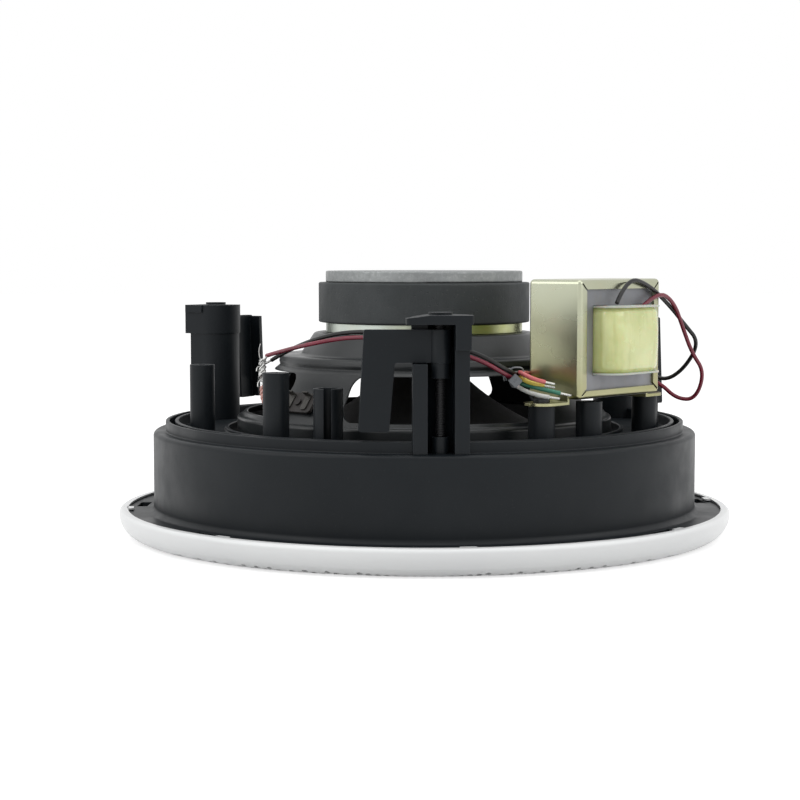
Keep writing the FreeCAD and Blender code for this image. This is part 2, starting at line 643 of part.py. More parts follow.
def pressed_basket():
    """The whole pressed basket: top, spider landing, four legs, wall and front flange."""
    flange_back = BAFFLE_BACK - BAFFLE_THICK
    shell = turned(sheet_face([
        (BASKET_NECK_R, TOP_PLATE_UNDER), (BASKET_TOP_R, TOP_PLATE_UNDER, 1.8),
        (LANDING_IN_R, LANDING_Z, 1.6), (LANDING_OUT_R, LANDING_Z, 1.8),
        (LEG_TOP_R, LEG_TOP_Z, 3.0), (LEG_FOOT_R, LEG_FOOT_Z, 1.0),
        (BASKET_WALL_R, BASKET_SHOULDER_Z, 1.3), (BASKET_WALL_R, flange_back, 1.0),
        (BASKET_FLANGE_R, flange_back)], -BASKET_SHEET))
    window = turned(face_of(outline([
        (LANDING_IN_R, WINDOW_BOTTOM), (DRUM_R, WINDOW_BOTTOM), (DRUM_R, WINDOW_TOP),
        (LANDING_IN_R, WINDOW_TOP)])), WINDOW_SWEEP)
    corners = []
    for edge in window.Edges:
        low, high = edge.Vertexes[0].Point, edge.Vertexes[-1].Point
        if isinstance(edge.Curve, (Part.Line, Part.LineSegment)) and abs(low.z - high.z) < 0.01:
            corners.append(edge)
    window = window.makeFillet(WINDOW_CORNER_R, corners)
    cutters = []
    for k in range(WINDOW_COUNT):
        cutters.append(around(window, WINDOW_START - WINDOW_SWEEP / 2 + k * 360 / WINDOW_COUNT))
    for k in range(DRIVER_SCREW_COUNT):
        x, y = polar(DRIVER_SCREW_CIRCLE_R, DRIVER_SCREW_START + k * 360 / DRIVER_SCREW_COUNT)
        cutters.append(rod(DRIVER_SCREW_R + FIT, flange_back - BASKET_SHEET - 1, flange_back + 1, x, y))
    return shell.cut(Part.makeCompound(cutters)).removeSplitter()


def basket_levels(whole):
    """The pressed basket cut at its windows and its landing: flange, legs, landing and top."""
    levels = (0, WINDOW_BOTTOM, WINDOW_TOP, LANDING_Z, ROOF_TOP)
    return [whole.common(rod(DRUM_R, low, high)) for low, high in zip(levels, levels[1:])]


def top_plate():
    """The steel plate between the basket and the magnet."""
    top = TOP_PLATE_UNDER + TOP_PLATE_THICK
    return lathe([
        (GAP_OUTER_R, TOP_PLATE_UNDER), (TOP_PLATE_R, TOP_PLATE_UNDER, EDGE_CHAMFER / 2),
        (TOP_PLATE_R, top, EDGE_CHAMFER / 2), (GAP_OUTER_R, top)])


def magnet():
    """The ferrite ring."""
    bottom = TOP_PLATE_UNDER + TOP_PLATE_THICK
    top = bottom + MAGNET_THICK
    return lathe([
        (MAGNET_IN_R, bottom), (MAGNET_R, bottom, EDGE_CHAMFER), (MAGNET_R, top, EDGE_CHAMFER),
        (MAGNET_IN_R, top)])


def yoke():
    """The back plate and its pole, one steel piece."""
    under = TOP_PLATE_UNDER + TOP_PLATE_THICK + MAGNET_THICK
    top = under + BACK_PLATE_THICK
    pole_tip = TOP_PLATE_UNDER - POLE_TIP_DROP
    return lathe([
        (0, pole_tip), (POLE_R, pole_tip, POLE_TIP_ROUND), (POLE_R, under), (BACK_PLATE_R, under, EDGE_CHAMFER),
        (BACK_PLATE_R, top, EDGE_CHAMFER), (0, top)])


def cone_curve(drop):
    """The cone's flared line from neck to edge, moved down by the drop."""
    neck_r = FORMER_R + FORMER_WALL
    middle_r = neck_r + CONE_MID_SHARE * (CONE_EDGE_R - neck_r)
    return Part.Arc(
        Vec(neck_r, 0, CONE_NECK_Z - drop), Vec(middle_r, 0, CONE_MID_Z - drop),
        Vec(CONE_EDGE_R, 0, CONE_EDGE_Z - drop))


def cone_drop_at(radius, drop):
    """The height of the cone's line at a radius."""
    curve = cone_curve(drop)
    upright_line = Part.LineSegment(Vec(radius, 0, 0), Vec(radius, 0, ROOF_TOP))
    return curve.intersect(upright_line)[0].Z


def cone():
    """The paper cone."""
    back = cone_curve(0)
    front = cone_curve(CONE_PAPER)
    edges = [
        back.toShape(),
        Part.LineSegment(back.EndPoint, front.EndPoint).toShape(),
        front.toShape(),
        Part.LineSegment(front.StartPoint, back.StartPoint).toShape(),
    ]
    return Part.Face(Part.Wire(Part.__sortEdges__(edges))).revolve(ORIGIN, UP, 360)


def dome_arc(rim_r, rim_z, rise):
    """The arc of a round dome that hangs below its rim, from the rim to the axis."""
    ball_r = (rim_r ** 2 + rise ** 2) / (2 * rise)
    half_sweep = math.asin(rim_r / ball_r) / 2
    centre_z = rim_z - rise + ball_r
    middle = Vec(ball_r * math.sin(half_sweep), 0, centre_z - ball_r * math.cos(half_sweep))
    return Part.Arc(Vec(rim_r, 0, rim_z), middle, Vec(0, 0, rim_z - rise))


def dust_cap():
    """The domed cap on the cone's front."""
    rim_z = cone_drop_at(DUST_CAP_R, CONE_PAPER) - SEAT
    outer = dome_arc(DUST_CAP_R, rim_z, DUST_CAP_RISE)
    inner = dome_arc(DUST_CAP_R - DUST_CAP_PAPER, rim_z, DUST_CAP_RISE - DUST_CAP_PAPER)
    tip = inner.EndPoint
    edges = [
        outer.toShape(),
        Part.LineSegment(outer.EndPoint, tip).toShape(),
        inner.toShape(),
        Part.LineSegment(inner.StartPoint, outer.StartPoint).toShape(),
    ]
    return Part.Face(Part.Wire(Part.__sortEdges__(edges))).revolve(ORIGIN, UP, 360)


def wave(start_r, end_r, count, level, height):
    """Arcs of a corrugated line along the radius, alternately up and down."""
    step = (end_r - start_r) / count
    arcs = []
    for k in range(count):
        left = start_r + k * step
        rise = height / 2 if k % 2 == 0 else -height / 2
        arcs.append(Part.Arc(Vec(left, 0, level), Vec(left + step / 2, 0, level + rise),
                             Vec(left + step, 0, level)).toShape())
    return arcs


def spider():
    """The corrugated cloth disc between the former and the landing's underside."""
    top = LANDING_Z - BASKET_SHEET
    low = top - SPIDER_CLOTH
    in_r = FORMER_R + FORMER_WALL
    foot_r = LANDING_IN_R + 1.0
    ends = [
        Part.LineSegment(Vec(in_r, 0, top), Vec(in_r, 0, low)).toShape(),
        Part.LineSegment(Vec(foot_r, 0, top), Vec(SPIDER_OUT_R, 0, top)).toShape(),
        Part.LineSegment(Vec(SPIDER_OUT_R, 0, top), Vec(SPIDER_OUT_R, 0, low)).toShape(),
        Part.LineSegment(Vec(SPIDER_OUT_R, 0, low), Vec(foot_r, 0, low)).toShape(),
    ]
    halves = 2 * SPIDER_WAVES
    edges = ends + wave(in_r, foot_r, halves, top, SPIDER_WAVE_HEIGHT)
    edges += wave(in_r, foot_r, halves, low, SPIDER_WAVE_HEIGHT)
    return Part.Face(Part.Wire(Part.__sortEdges__(edges))).revolve(ORIGIN, UP, 360)


def former():
    """The voice coil's former."""
    return tube(FORMER_R + FORMER_WALL, FORMER_R, CONE_NECK_Z - CONE_PAPER, FORMER_TOP)


def voice_coil():
    """The winding on the former, in the magnet's gap."""
    top = FORMER_TOP - COIL_TOP_MARGIN
    inner = FORMER_R + FORMER_WALL
    return tube(inner + COIL_WALL, inner, top - COIL_HEIGHT, top)


def surround():
    """The rolled edge between the cone and the basket's flange."""
    top = BAFFLE_BACK - BAFFLE_THICK - BASKET_SHEET
    low = top - SURROUND_SHEET
    middle = (SURROUND_IN_R + SURROUND_OUT_R) / 2
    lip_r = SURROUND_IN_R - SURROUND_LIP
    lip_top = cone_drop_at(lip_r, CONE_PAPER) - SEAT / 2
    edge_top = cone_drop_at(CONE_EDGE_R, CONE_PAPER) - SEAT / 2
    roll_in = Vec(SURROUND_IN_R, 0, edge_top)
    roll_in_low = Vec(SURROUND_IN_R, 0, edge_top - SURROUND_SHEET)
    cone_edge = Vec(CONE_EDGE_R, 0, edge_top)
    cone_edge_low = Vec(CONE_EDGE_R, 0, edge_top - SURROUND_SHEET)
    deep = top - SURROUND_ROLL
    edges = [
        Part.LineSegment(Vec(GASKET_OUT_R, 0, top), Vec(SURROUND_OUT_R, 0, top)).toShape(),
        Part.Arc(Vec(SURROUND_OUT_R, 0, top), Vec(middle, 0, deep), roll_in).toShape(),
        Part.LineSegment(roll_in, cone_edge).toShape(),
        Part.LineSegment(cone_edge, Vec(lip_r, 0, lip_top)).toShape(),
        Part.LineSegment(Vec(lip_r, 0, lip_top), Vec(lip_r, 0, lip_top - SURROUND_SHEET)).toShape(),
        Part.LineSegment(Vec(lip_r, 0, lip_top - SURROUND_SHEET), cone_edge_low).toShape(),
        Part.LineSegment(cone_edge_low, roll_in_low).toShape(),
        Part.Arc(roll_in_low, Vec(middle, 0, deep - SURROUND_SHEET), Vec(SURROUND_OUT_R, 0, low)).toShape(),
        Part.LineSegment(Vec(SURROUND_OUT_R, 0, low), Vec(GASKET_OUT_R, 0, low)).toShape(),
        Part.LineSegment(Vec(GASKET_OUT_R, 0, low), Vec(GASKET_OUT_R, 0, top)).toShape(),
    ]
    return Part.Face(Part.Wire(Part.__sortEdges__(edges))).revolve(ORIGIN, UP, 360)


def gasket():
    """The card ring that holds the surround's edge on the flange."""
    top = BAFFLE_BACK - BAFFLE_THICK - BASKET_SHEET - SURROUND_SHEET
    return tube(GASKET_OUT_R, GASKET_IN_R, top - GASKET_THICK, top)


def driver_screws():
    """The screws that hold the basket's flange under the baffle."""
    seat = BAFFLE_BACK - BAFFLE_THICK - BASKET_SHEET
    bottom = seat - DRIVER_SCREW_HEAD_HEIGHT
    tip = BAFFLE_BACK - BAFFLE_THICK + DRIVER_SCREW_BITE
    screw = lathe([
        (0, bottom), (DRIVER_SCREW_HEAD_R, bottom, 0.8), (DRIVER_SCREW_HEAD_R, seat),
        (DRIVER_SCREW_R, seat), (DRIVER_SCREW_R, tip), (0, tip)])
    screw = screw.cut(cross_slot(DRIVER_SCREW_HEAD_R, bottom))
    screws = []
    for k in range(DRIVER_SCREW_COUNT):
        copy = screw.copy()
        copy.translate(Vec(DRIVER_SCREW_CIRCLE_R, 0, 0))
        screws.append(around(copy, DRIVER_SCREW_START + k * 360 / DRIVER_SCREW_COUNT))
    return Part.makeCompound(screws)


def on_leg(shape):
    """A shape drawn flat about the origin, laid on the outside of the basket's leg at the terminal."""
    run = LEG_FOOT_R - LEG_TOP_R
    fall = LEG_TOP_Z - LEG_FOOT_Z
    radius = LEG_TOP_R + run * (LEG_TOP_Z - TERMINAL_Z) / fall
    placed = shape.copy()
    placed.rotate(ORIGIN, Vec(0, 1, 0), math.degrees(math.atan2(fall, run)))
    placed.translate(Vec(radius, 0, TERMINAL_Z))
    placed.rotate(ORIGIN, UP, TERMINAL_ANGLE)
    return placed


def terminal_strip():
    """The fibre strip with its rivet, on the basket's leg."""
    corner = 1.5
    base = SEAT + FIT
    strip = plate([
        (-TERMINAL_WIDTH / 2, -TERMINAL_LENGTH / 2, corner), (TERMINAL_WIDTH / 2, -TERMINAL_LENGTH / 2, corner),
        (TERMINAL_WIDTH / 2, TERMINAL_LENGTH / 2, corner), (-TERMINAL_WIDTH / 2, TERMINAL_LENGTH / 2, corner)],
        base, base + TERMINAL_THICK)
    rivet = rod(TERMINAL_RIVET_R, base + TERMINAL_THICK, base + TERMINAL_THICK + TERMINAL_RIVET_HEIGHT)
    return on_leg(joined([strip, rivet]))


def terminal_tags():
    """The two solder tags on the strip."""
    base = SEAT + FIT + TERMINAL_THICK
    tags = []
    for side in (-1, 1):
        y = side * TAG_SPACING / 2
        tag = plate([
            (-TAG_LENGTH / 2, y - TAG_WIDTH / 2), (TAG_LENGTH / 2, y - TAG_WIDTH / 2, 0.9),
            (TAG_LENGTH / 2, y + TAG_WIDTH / 2, 0.9), (-TAG_LENGTH / 2, y + TAG_WIDTH / 2)],
            base, base + TAG_THICK)
        upturn = box(-TAG_LENGTH / 2, -TAG_LENGTH / 2 + TAG_THICK, y - TAG_WIDTH / 2, y + TAG_WIDTH / 2,
                     base + TAG_THICK, base + TAG_THICK + TAG_UPTURN)
        tags.append(on_leg(joined([tag, upturn])))
    return Part.makeCompound(tags)


def at_core(shape):
    """A shape drawn about the core's middle line, its length along X, moved to the transformer's place."""
    placed = shape.copy()
    placed.rotate(ORIGIN, UP, CORE_TURN)
    placed.translate(on_plan(CORE_CENTRE))
    return placed


def laminations():
    """The stacked core: outer frame and middle leg round two windows."""
    bottom = CORE_TOP - CORE_HEIGHT
    window_bottom = bottom + (CORE_HEIGHT - CORE_WINDOW_HEIGHT) / 2
    window_top = window_bottom + CORE_WINDOW_HEIGHT
    block = box(-CORE_LENGTH / 2, CORE_LENGTH / 2, -CORE_STACK / 2, CORE_STACK / 2, bottom, CORE_TOP)
    windows = []
    for side in (-1, 1):
        near = side * CORE_LEG_WIDTH / 2
        far = side * (CORE_LEG_WIDTH / 2 + CORE_WINDOW_WIDTH)
        windows.append(box(min(near, far), max(near, far), -CORE_STACK, CORE_STACK, window_bottom, window_top))
    return at_core(block.cut(Part.makeCompound(windows)))


def bobbin_levels():
    """The heights of the bobbin's underside and top inside the core's windows."""
    middle = CORE_TOP - CORE_HEIGHT / 2
    half = CORE_WINDOW_HEIGHT / 2 - FIT / 2
    return middle - half, middle + half


def bobbin_halves():
    """Half the bobbin's length and half its width at the cheeks."""
    return CORE_LEG_WIDTH / 2 + CORE_WINDOW_WIDTH - FIT, CORE_STACK / 2 + BOBBIN_SIDE


def rounded_block(half_x, half_y, corner, bottom, top):
    """An upright block centred on Z with rounded corners."""
    return plate([
        (-half_x, -half_y, corner), (half_x, -half_y, corner), (half_x, half_y, corner),
        (-half_x, half_y, corner)], bottom, top)


def bobbin():
    """The moulded bobbin: a square tube on the core's middle leg between two cheeks."""
    bottom, top = bobbin_levels()
    half_x, half_y = bobbin_halves()
    hole_x = CORE_LEG_WIDTH / 2 + FIT / 2
    hole_y = CORE_STACK / 2 + FIT / 2
    spool = box(-hole_x - BOBBIN_TUBE, hole_x + BOBBIN_TUBE, -hole_y - BOBBIN_TUBE, hole_y + BOBBIN_TUBE,
                bottom, top)
    cheeks = [
        rounded_block(half_x, half_y, 1.2, bottom, bottom + BOBBIN_CHEEK),
        rounded_block(half_x, half_y, 1.2, top - BOBBIN_CHEEK, top),
    ]
    hole = box(-hole_x, hole_x, -hole_y, hole_y, bottom - 1, top + 1)
    return at_core(joined([spool] + cheeks).cut(hole))


def winding():
    """The taped winding between the bobbin's cheeks."""
    bottom, top = bobbin_levels()
    half_x, half_y = bobbin_halves()
    tube_x = CORE_LEG_WIDTH / 2 + FIT / 2 + BOBBIN_TUBE
    tube_y = CORE_STACK / 2 + FIT / 2 + BOBBIN_TUBE
    coil = rounded_block(half_x - FIT, half_y - WINDING_STEP_IN, WINDING_CORNER_R,
                         bottom + BOBBIN_CHEEK, top - BOBBIN_CHEEK)
    return at_core(coil.cut(box(-tube_x, tube_x, -tube_y, tube_y, bottom, top)))


def bracket():
    """The sheet frame round the core: top, ends down to the feet, and lips over both faces."""
    bottom = CORE_TOP - CORE_HEIGHT
    half_x = CORE_LENGTH / 2 + BRACKET_SHEET
    half_y = CORE_STACK / 2 + BRACKET_SHEET
    top = CORE_TOP + BRACKET_SHEET
    foot_end = FOOT_SPACING / 2 + FOOT_WIDTH / 2
    foot_top = FOOT_UNDER + BRACKET_SHEET
    shell = rounded_block(half_x, half_y, 0.6, bottom, top)
    core_room = box(-CORE_LENGTH / 2, CORE_LENGTH / 2, -CORE_STACK / 2, CORE_STACK / 2, bottom - 1, CORE_TOP)
    opening = box(-half_x + BRACKET_SIDE_LIP, half_x - BRACKET_SIDE_LIP, -half_y - 1, half_y + 1,
                  bottom + BRACKET_BOTTOM_LIP, top - BRACKET_TOP_LIP)
    frame = shell.cut(core_room).cut(opening)
    pieces = [frame]
    for side in (-1, 1):
        near, far = sorted((side * (half_x - BRACKET_SHEET), side * half_x))
        pieces.append(box(near, far, -FOOT_WIDTH / 2, FOOT_WIDTH / 2, FOOT_UNDER, bottom))
        corner = FOOT_WIDTH / 2 - 0.5
        foot = plate([
            (side * near_end(half_x), -FOOT_WIDTH / 2), (side * foot_end, -FOOT_WIDTH / 2, corner),
            (side * foot_end, FOOT_WIDTH / 2, corner), (side * near_end(half_x), FOOT_WIDTH / 2)],
            FOOT_UNDER, foot_top)
        pieces.append(foot.cut(rod(FOOT_SCREW_R + FIT, FOOT_UNDER - 1, foot_top + 1, side * FOOT_SPACING / 2)))
    return at_core(joined(pieces))


def near_end(half_x):
    """Where a foot meets the inside of the bracket's end."""
    return half_x - BRACKET_SHEET


def transformer_screws():
    """The two screws through the bracket's feet into the posts."""
    seat = FOOT_UNDER + BRACKET_SHEET
    top = seat + FOOT_SCREW_HEAD_HEIGHT
    tip = seat - BRACKET_SHEET - FOOT_SCREW_BITE
    screw = lathe([
        (0, tip), (FOOT_SCREW_R, tip), (FOOT_SCREW_R, seat), (FOOT_SCREW_HEAD_R, seat),
        (FOOT_SCREW_HEAD_R, top, 0.9), (0, top)])
    slot = cross_slot(FOOT_SCREW_HEAD_R, 0)
    slot.translate(Vec(0, 0, top - CROSS_SLOT_DEPTH + 1))
    screw = screw.cut(slot)
    screws = []
    for point in foot_points():
        copy = screw.copy()
        copy.translate(point)
        screws.append(copy)
    return Part.makeCompound(screws)


def input_block():
    """The two-way block that the primary leads run to."""
    top = BAFFLE_BACK + BLOCK_HEIGHT
    block = rounded_block(BLOCK_DEPTH / 2, BLOCK_LENGTH / 2, BLOCK_CORNER_R, BAFFLE_BACK, top)
    wells = []
    for side in (-1, 1):
        wells.append(rod(BLOCK_CAGE_R, BAFFLE_BACK + BLOCK_HEIGHT * 0.55, top + 1,
                         -BLOCK_CAGE_SETBACK, side * BLOCK_LENGTH / 4))
    block = block.cut(Part.makeCompound(wells))
    block.translate(on_plan(BLOCK_CENTRE))
    return block


def cord(name, route, radius):
    """A lead's tube: straight runs joined by arcs as large as the two runs beside each allow."""
    points = [on_plan(point) for point in route]
    edges = []
    radii = []
    start = points[0]
    for last, here, following in zip(points, points[1:], points[2:]):
        to_last = (last - here).normalize()
        to_next = (following - here).normalize()
        reach = 0.45 * min((last - here).Length, (following - here).Length)
        half = to_last.getAngle(to_next) / 2
        bend = reach * math.tan(half)
        centre = here + (to_last + to_next).normalize() * (bend / math.sin(half))
        arc_start = here + to_last * reach
        arc_end = here + to_next * reach
        middle = centre + (here - centre).normalize() * bend
        edges.append(Part.LineSegment(start, arc_start).toShape())
        edges.append(Part.Arc(arc_start, middle, arc_end).toShape())
        radii.append(round(bend, 1))
        start = arc_end
    edges.append(Part.LineSegment(start, points[-1]).toShape())
    path = Part.Wire(edges)
    section = Part.Wire(Part.makeCircle(radius, points[0], points[1] - points[0]))
    tube_shape = path.makePipeShell([section], True, False)
    expected = math.pi * radius ** 2 * path.Length
    print(f"{name}: bend radii {radii}, volume over section times length {tube_shape.Volume / expected:.4f}")
    return tube_shape


def bar(radius, start, end):
    """A straight round bar between two points."""
    way = on_plan(end) - on_plan(start)
    return Part.makeCylinder(radius, way.Length, on_plan(start), way)


def tap_tips():
    """The bare tinned ends of the cut-off tap leads."""
    tips = []
    for route in (TAP_ORANGE, TAP_YELLOW, TAP_GREEN, TAP_WHITE):
        end = on_plan(route[-1])
        way = (end - on_plan(route[-2])).normalize()
        tips.append(Part.makeCylinder(BARE_R, TIP_LENGTH, end, way))
    return Part.makeCompound(tips)


def lead_tie():
    """The band round the bundle of leads below the transformer."""
    outer = wall([
        (-TIE_HALF_WIDTH - TIE_WALL, -TIE_HALF_HEIGHT - TIE_WALL, TIE_CORNER_R),
        (TIE_HALF_WIDTH + TIE_WALL, -TIE_HALF_HEIGHT - TIE_WALL, TIE_CORNER_R),
        (TIE_HALF_WIDTH + TIE_WALL, TIE_HALF_HEIGHT + TIE_WALL, TIE_CORNER_R),
        (-TIE_HALF_WIDTH - TIE_WALL, TIE_HALF_HEIGHT + TIE_WALL, TIE_CORNER_R)], -TIE_WIDTH / 2, TIE_WIDTH / 2)
    inner = box(-TIE_HALF_WIDTH, TIE_HALF_WIDTH, -TIE_WIDTH, TIE_WIDTH, -TIE_HALF_HEIGHT, TIE_HALF_HEIGHT)
    tie = outer.cut(inner)
    tie.translate(on_plan(TIE_CENTRE))
    return tie


def export(name, shape):
    """Write one sub-part, saying its solids and volume."""
    if not shape.isValid():
        raise ValueError(name + " is not a valid shape")
    shape.exportStep(os.path.join("parts", name + ".step"))
    print(f"{name}: {len(shape.Solids)} solid(s), {shape.Volume:.1f} mm3")


def main():
    """Build and write every sub-part."""
    os.makedirs("parts", exist_ok=True)
    export("grille", grille())
    export("grille_rim", grille_rim())
    export("flange", flange())
    export("housing", housing())
    export("baffle", baffle())
    export("posts", posts())
    basket_parts = basket_levels(pressed_basket())
    for name, level in zip(("basket", "basket_legs", "basket_landing", "basket_top"), basket_parts):
        export(name, level)
    export("top_plate", top_plate())
    export("magnet", magnet())
    export("yoke", yoke())
    export("cone", cone())
    export("dust_cap", dust_cap())
    export("spider", spider())
    export("former", former())
    export("voice_coil", voice_coil())
    export("surround", surround())
    export("gasket", gasket())
    export("driver_screws", driver_screws())
    export("terminal_strip", terminal_strip())
    export("terminal_tags", terminal_tags())
    dog = clamp_dog()
    screw = clamp_screw()
    one_tower = tower()
    for k, angle in enumerate(clamp_angles()):
        export(f"tower_{k + 1}", at_clamp(one_tower, angle))
        export(f"clamp_{k + 1}", at_clamp(dog, angle))
        export(f"clamp_screw_{k + 1}", at_clamp(screw, angle))
    export("laminations", laminations())
    export("bobbin", bobbin())
    export("winding", winding())
    export("bracket", bracket())
    export("transformer_screws", transformer_screws())
    export("input_block", input_block())
    leads = {
        "primary_lead_black": PRIMARY_BLACK, "primary_lead_red": PRIMARY_RED,
        "speaker_lead_red": SPEAKER_RED, "speaker_lead_black": SPEAKER_BLACK,
        "tap_lead_orange": TAP_ORANGE, "tap_lead_yellow": TAP_YELLOW,
        "tap_lead_green": TAP_GREEN, "tap_lead_white": TAP_WHITE,
    }
    for name, route in leads.items():
        export(name, cord(name, route, WIRE_R))
    export("driver_pair", cord("driver_pair", DRIVER_PAIR, TWISTED_R))
    export("splice", bar(SPLICE_R, SPLICE_TOP, SPLICE_FOOT))
    export("tap_tips", tap_tips())
    export("lead_tie", lead_tie())


main()
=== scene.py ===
"""A recessed ceiling loudspeaker, lying face down on its grille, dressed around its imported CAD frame.

All sizes in the classes are millimetres and degrees; MM turns them into the frame's metres.
"""

import logging
import math
import random
from dataclasses import dataclass
from enum import Enum
from functools import cached_property
from typing import Callable, Iterable, Sequence

import bmesh
import bpy
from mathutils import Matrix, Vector

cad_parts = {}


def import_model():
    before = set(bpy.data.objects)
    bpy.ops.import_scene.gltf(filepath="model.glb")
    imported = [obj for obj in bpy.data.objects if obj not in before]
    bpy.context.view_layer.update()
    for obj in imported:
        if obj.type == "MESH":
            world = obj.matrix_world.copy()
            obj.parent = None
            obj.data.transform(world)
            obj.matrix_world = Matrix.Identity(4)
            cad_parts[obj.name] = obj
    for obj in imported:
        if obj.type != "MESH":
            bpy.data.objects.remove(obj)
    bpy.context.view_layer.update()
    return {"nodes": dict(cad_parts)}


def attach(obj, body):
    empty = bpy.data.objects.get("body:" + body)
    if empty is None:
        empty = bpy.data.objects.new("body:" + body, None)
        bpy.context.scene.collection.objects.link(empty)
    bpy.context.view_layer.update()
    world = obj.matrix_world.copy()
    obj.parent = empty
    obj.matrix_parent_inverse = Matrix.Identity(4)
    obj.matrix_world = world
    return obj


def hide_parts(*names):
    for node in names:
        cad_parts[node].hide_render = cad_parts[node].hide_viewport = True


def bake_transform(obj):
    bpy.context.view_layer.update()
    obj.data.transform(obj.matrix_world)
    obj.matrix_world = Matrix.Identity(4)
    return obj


LOG = logging.getLogger("loudspeaker")
MM = 0.001
SMOOTH_BELOW = math.radians(38)
TURN = 2 * math.pi
CORNER_STEPS = 6
# How far solids reach into each other before they are joined, and a cutter past the face that it cuts.
OVERLAP = 0.5
PAST = 1.0
DUST_COLOUR = (0.42, 0.41, 0.39)
COAT_ROUGHNESS = 0.12
SOFT_REACH = 0.0015
DRUM_AXIS = (0.0, 0.0)

Colour = tuple[float, float, float]
Point = tuple[float, float, float]
Pair = tuple[float, float]
Profile = list[Pair]
Place = Callable[[float, float, float], Vector]
Mesh = bmesh.types.BMesh
Socket = bpy.types.NodeSocket


class Body(Enum):
    """The CAD bodies that pieces ride on."""

    HOUSING = "housing"
    CONE = "cone_unit"
    CLAMP = "clamp_"
    SCREW = "clamp_screw_"


class NodeSheet:
    """A short hand for building the node tree of a material or a world."""

    def __init__(self, owner: bpy.types.Material | bpy.types.World) -> None:
        """Starts the owner's tree empty.

        Args:
            owner: The material or world.
        """
        owner.use_nodes = True
        self.tree = owner.node_tree
        self.tree.nodes.clear()

    def node(self, kind: str, inputs: dict[str | int, object] | None = None,
             **options: object) -> bpy.types.Node:
        """Adds a node and fills its inputs.

        Args:
            kind: The node's type, without its leading ShaderNode.
            inputs: A socket to link or a plain value, by each input's name or number.
            options: The node's own settings, which are made first.

        Returns:
            The node.
        """
        node = self.tree.nodes.new(f"ShaderNode{kind}")
        for name, value in options.items():
            setattr(node, name, value)
        for key, value in (inputs or {}).items():
            target = node.inputs[key]
            if isinstance(value, Socket):
                self.tree.links.new(value, target)
            elif isinstance(value, tuple) and len(value) == 3 and target.type == "RGBA":
                target.default_value = (*value, 1.0)
            else:
                target.default_value = value
        return node

    @cached_property
    def place(self) -> Socket:
        """The object's own coordinates."""
        return self.node("TexCoord").outputs["Object"]

    def stretched(self, *scale: float) -> Socket:
        """The object's coordinates stretched along X, Y and Z."""
        return self.node("Mapping", {"Scale": scale, "Vector": self.place}).outputs["Vector"]

    def noise(self, scale: float, detail: float = 3.0, vector: Socket | None = None,
              roughness: float = 0.55) -> Socket:
        """Fractal noise, its scale in features per metre and its detail in octaves."""
        return self.node("TexNoise", {"Scale": scale, "Detail": detail, "Roughness": roughness,
                                      "Vector": vector or self.place}).outputs["Fac"]

    def cells(self, scale: float) -> Socket:
        """The distance to the nearest of scattered points, its scale in cells per metre."""
        return self.node("TexVoronoi", {"Scale": scale, "Vector": self.place}).outputs["Distance"]

    def waves(self, scale: float, direction: str, distortion: float) -> Socket:
        """Parallel bands across one axis, which wander by the distortion."""
        return self.node("TexWave", {"Scale": scale, "Distortion": distortion, "Vector": self.place},
                         bands_direction=direction).outputs["Fac"]

    def span(self, value: object, low: float, high: float, to_low: float = 0.0,
             to_high: float = 1.0) -> Socket:
        """A value carried from one range to another and clamped there."""
        return self.node("MapRange", {"Value": value, "From Min": low, "From Max": high, "To Min": to_low,
                                      "To Max": to_high}).outputs["Result"]

    def along(self, axis: str, low: float, high: float) -> Socket:
        """How far a place lies between two levels of one axis, in metres, from 0 to 1."""
        return self.span(self.node("SeparateXYZ", {"Vector": self.place}).outputs[axis], low, high)

    def sum_of(self, first: object, second: object, operation: str = "ADD") -> Socket:
        """Two values put together by a math operation."""
        return self.node("Math", {0: first, 1: second}, operation=operation).outputs["Value"]

    def blend(self, share: object, first: object, second: object) -> Socket:
        """A mix of two colours, where the share says how much of the second shows."""
        return self.node("Mix", {0: share, 6: first, 7: second}, data_type="RGBA").outputs[2]

    def rounded(self, radius: float) -> Socket:
        """The normal with every hard edge rounded by a radius in metres."""
        return self.node("Bevel", {"Radius": radius}, samples=4).outputs["Normal"]

    def edges(self, normal: Socket, low: float, high: float) -> Socket:
        """A mask that is 1 along the edges, where the rounded normal leaves the true one.

        Args:
            normal: The rounded normal.
            low: How far it leaves the true one before the mask starts.
            high: Where the mask is full.

        Returns:
            The mask.
        """
        true = self.node("NewGeometry").outputs["Normal"]
        dot = self.node("VectorMath", {0: normal, 1: true}, operation="DOT_PRODUCT").outputs["Value"]
        return self.span(self.sum_of(1.0, dot, "SUBTRACT"), low, high)

    def bump(self, height: Socket, depth: float, normal: Socket) -> Socket:
        """A normal bumped by a height from 0 to 1, where 1 stands for the depth in metres."""
        return self.node("Bump", {"Distance": depth, "Height": height, "Normal": normal}).outputs["Normal"]

    def seen_strength(self, unseen: float, seen: float) -> Socket:
        """A strength with one value for lighting and another to the eye, in gloss and through glass.

        Args:
            unseen: The strength as a light.
            seen: The strength to the eye.

        Returns:
            The strength.
        """
        path = self.node("LightPath").outputs
        shown = self.sum_of(path["Is Camera Ray"], path["Is Glossy Ray"], "MAXIMUM")
        return self.span(self.sum_of(shown, path["Is Transmission Ray"], "MAXIMUM"), 0.0, 1.0, unseen, seen)


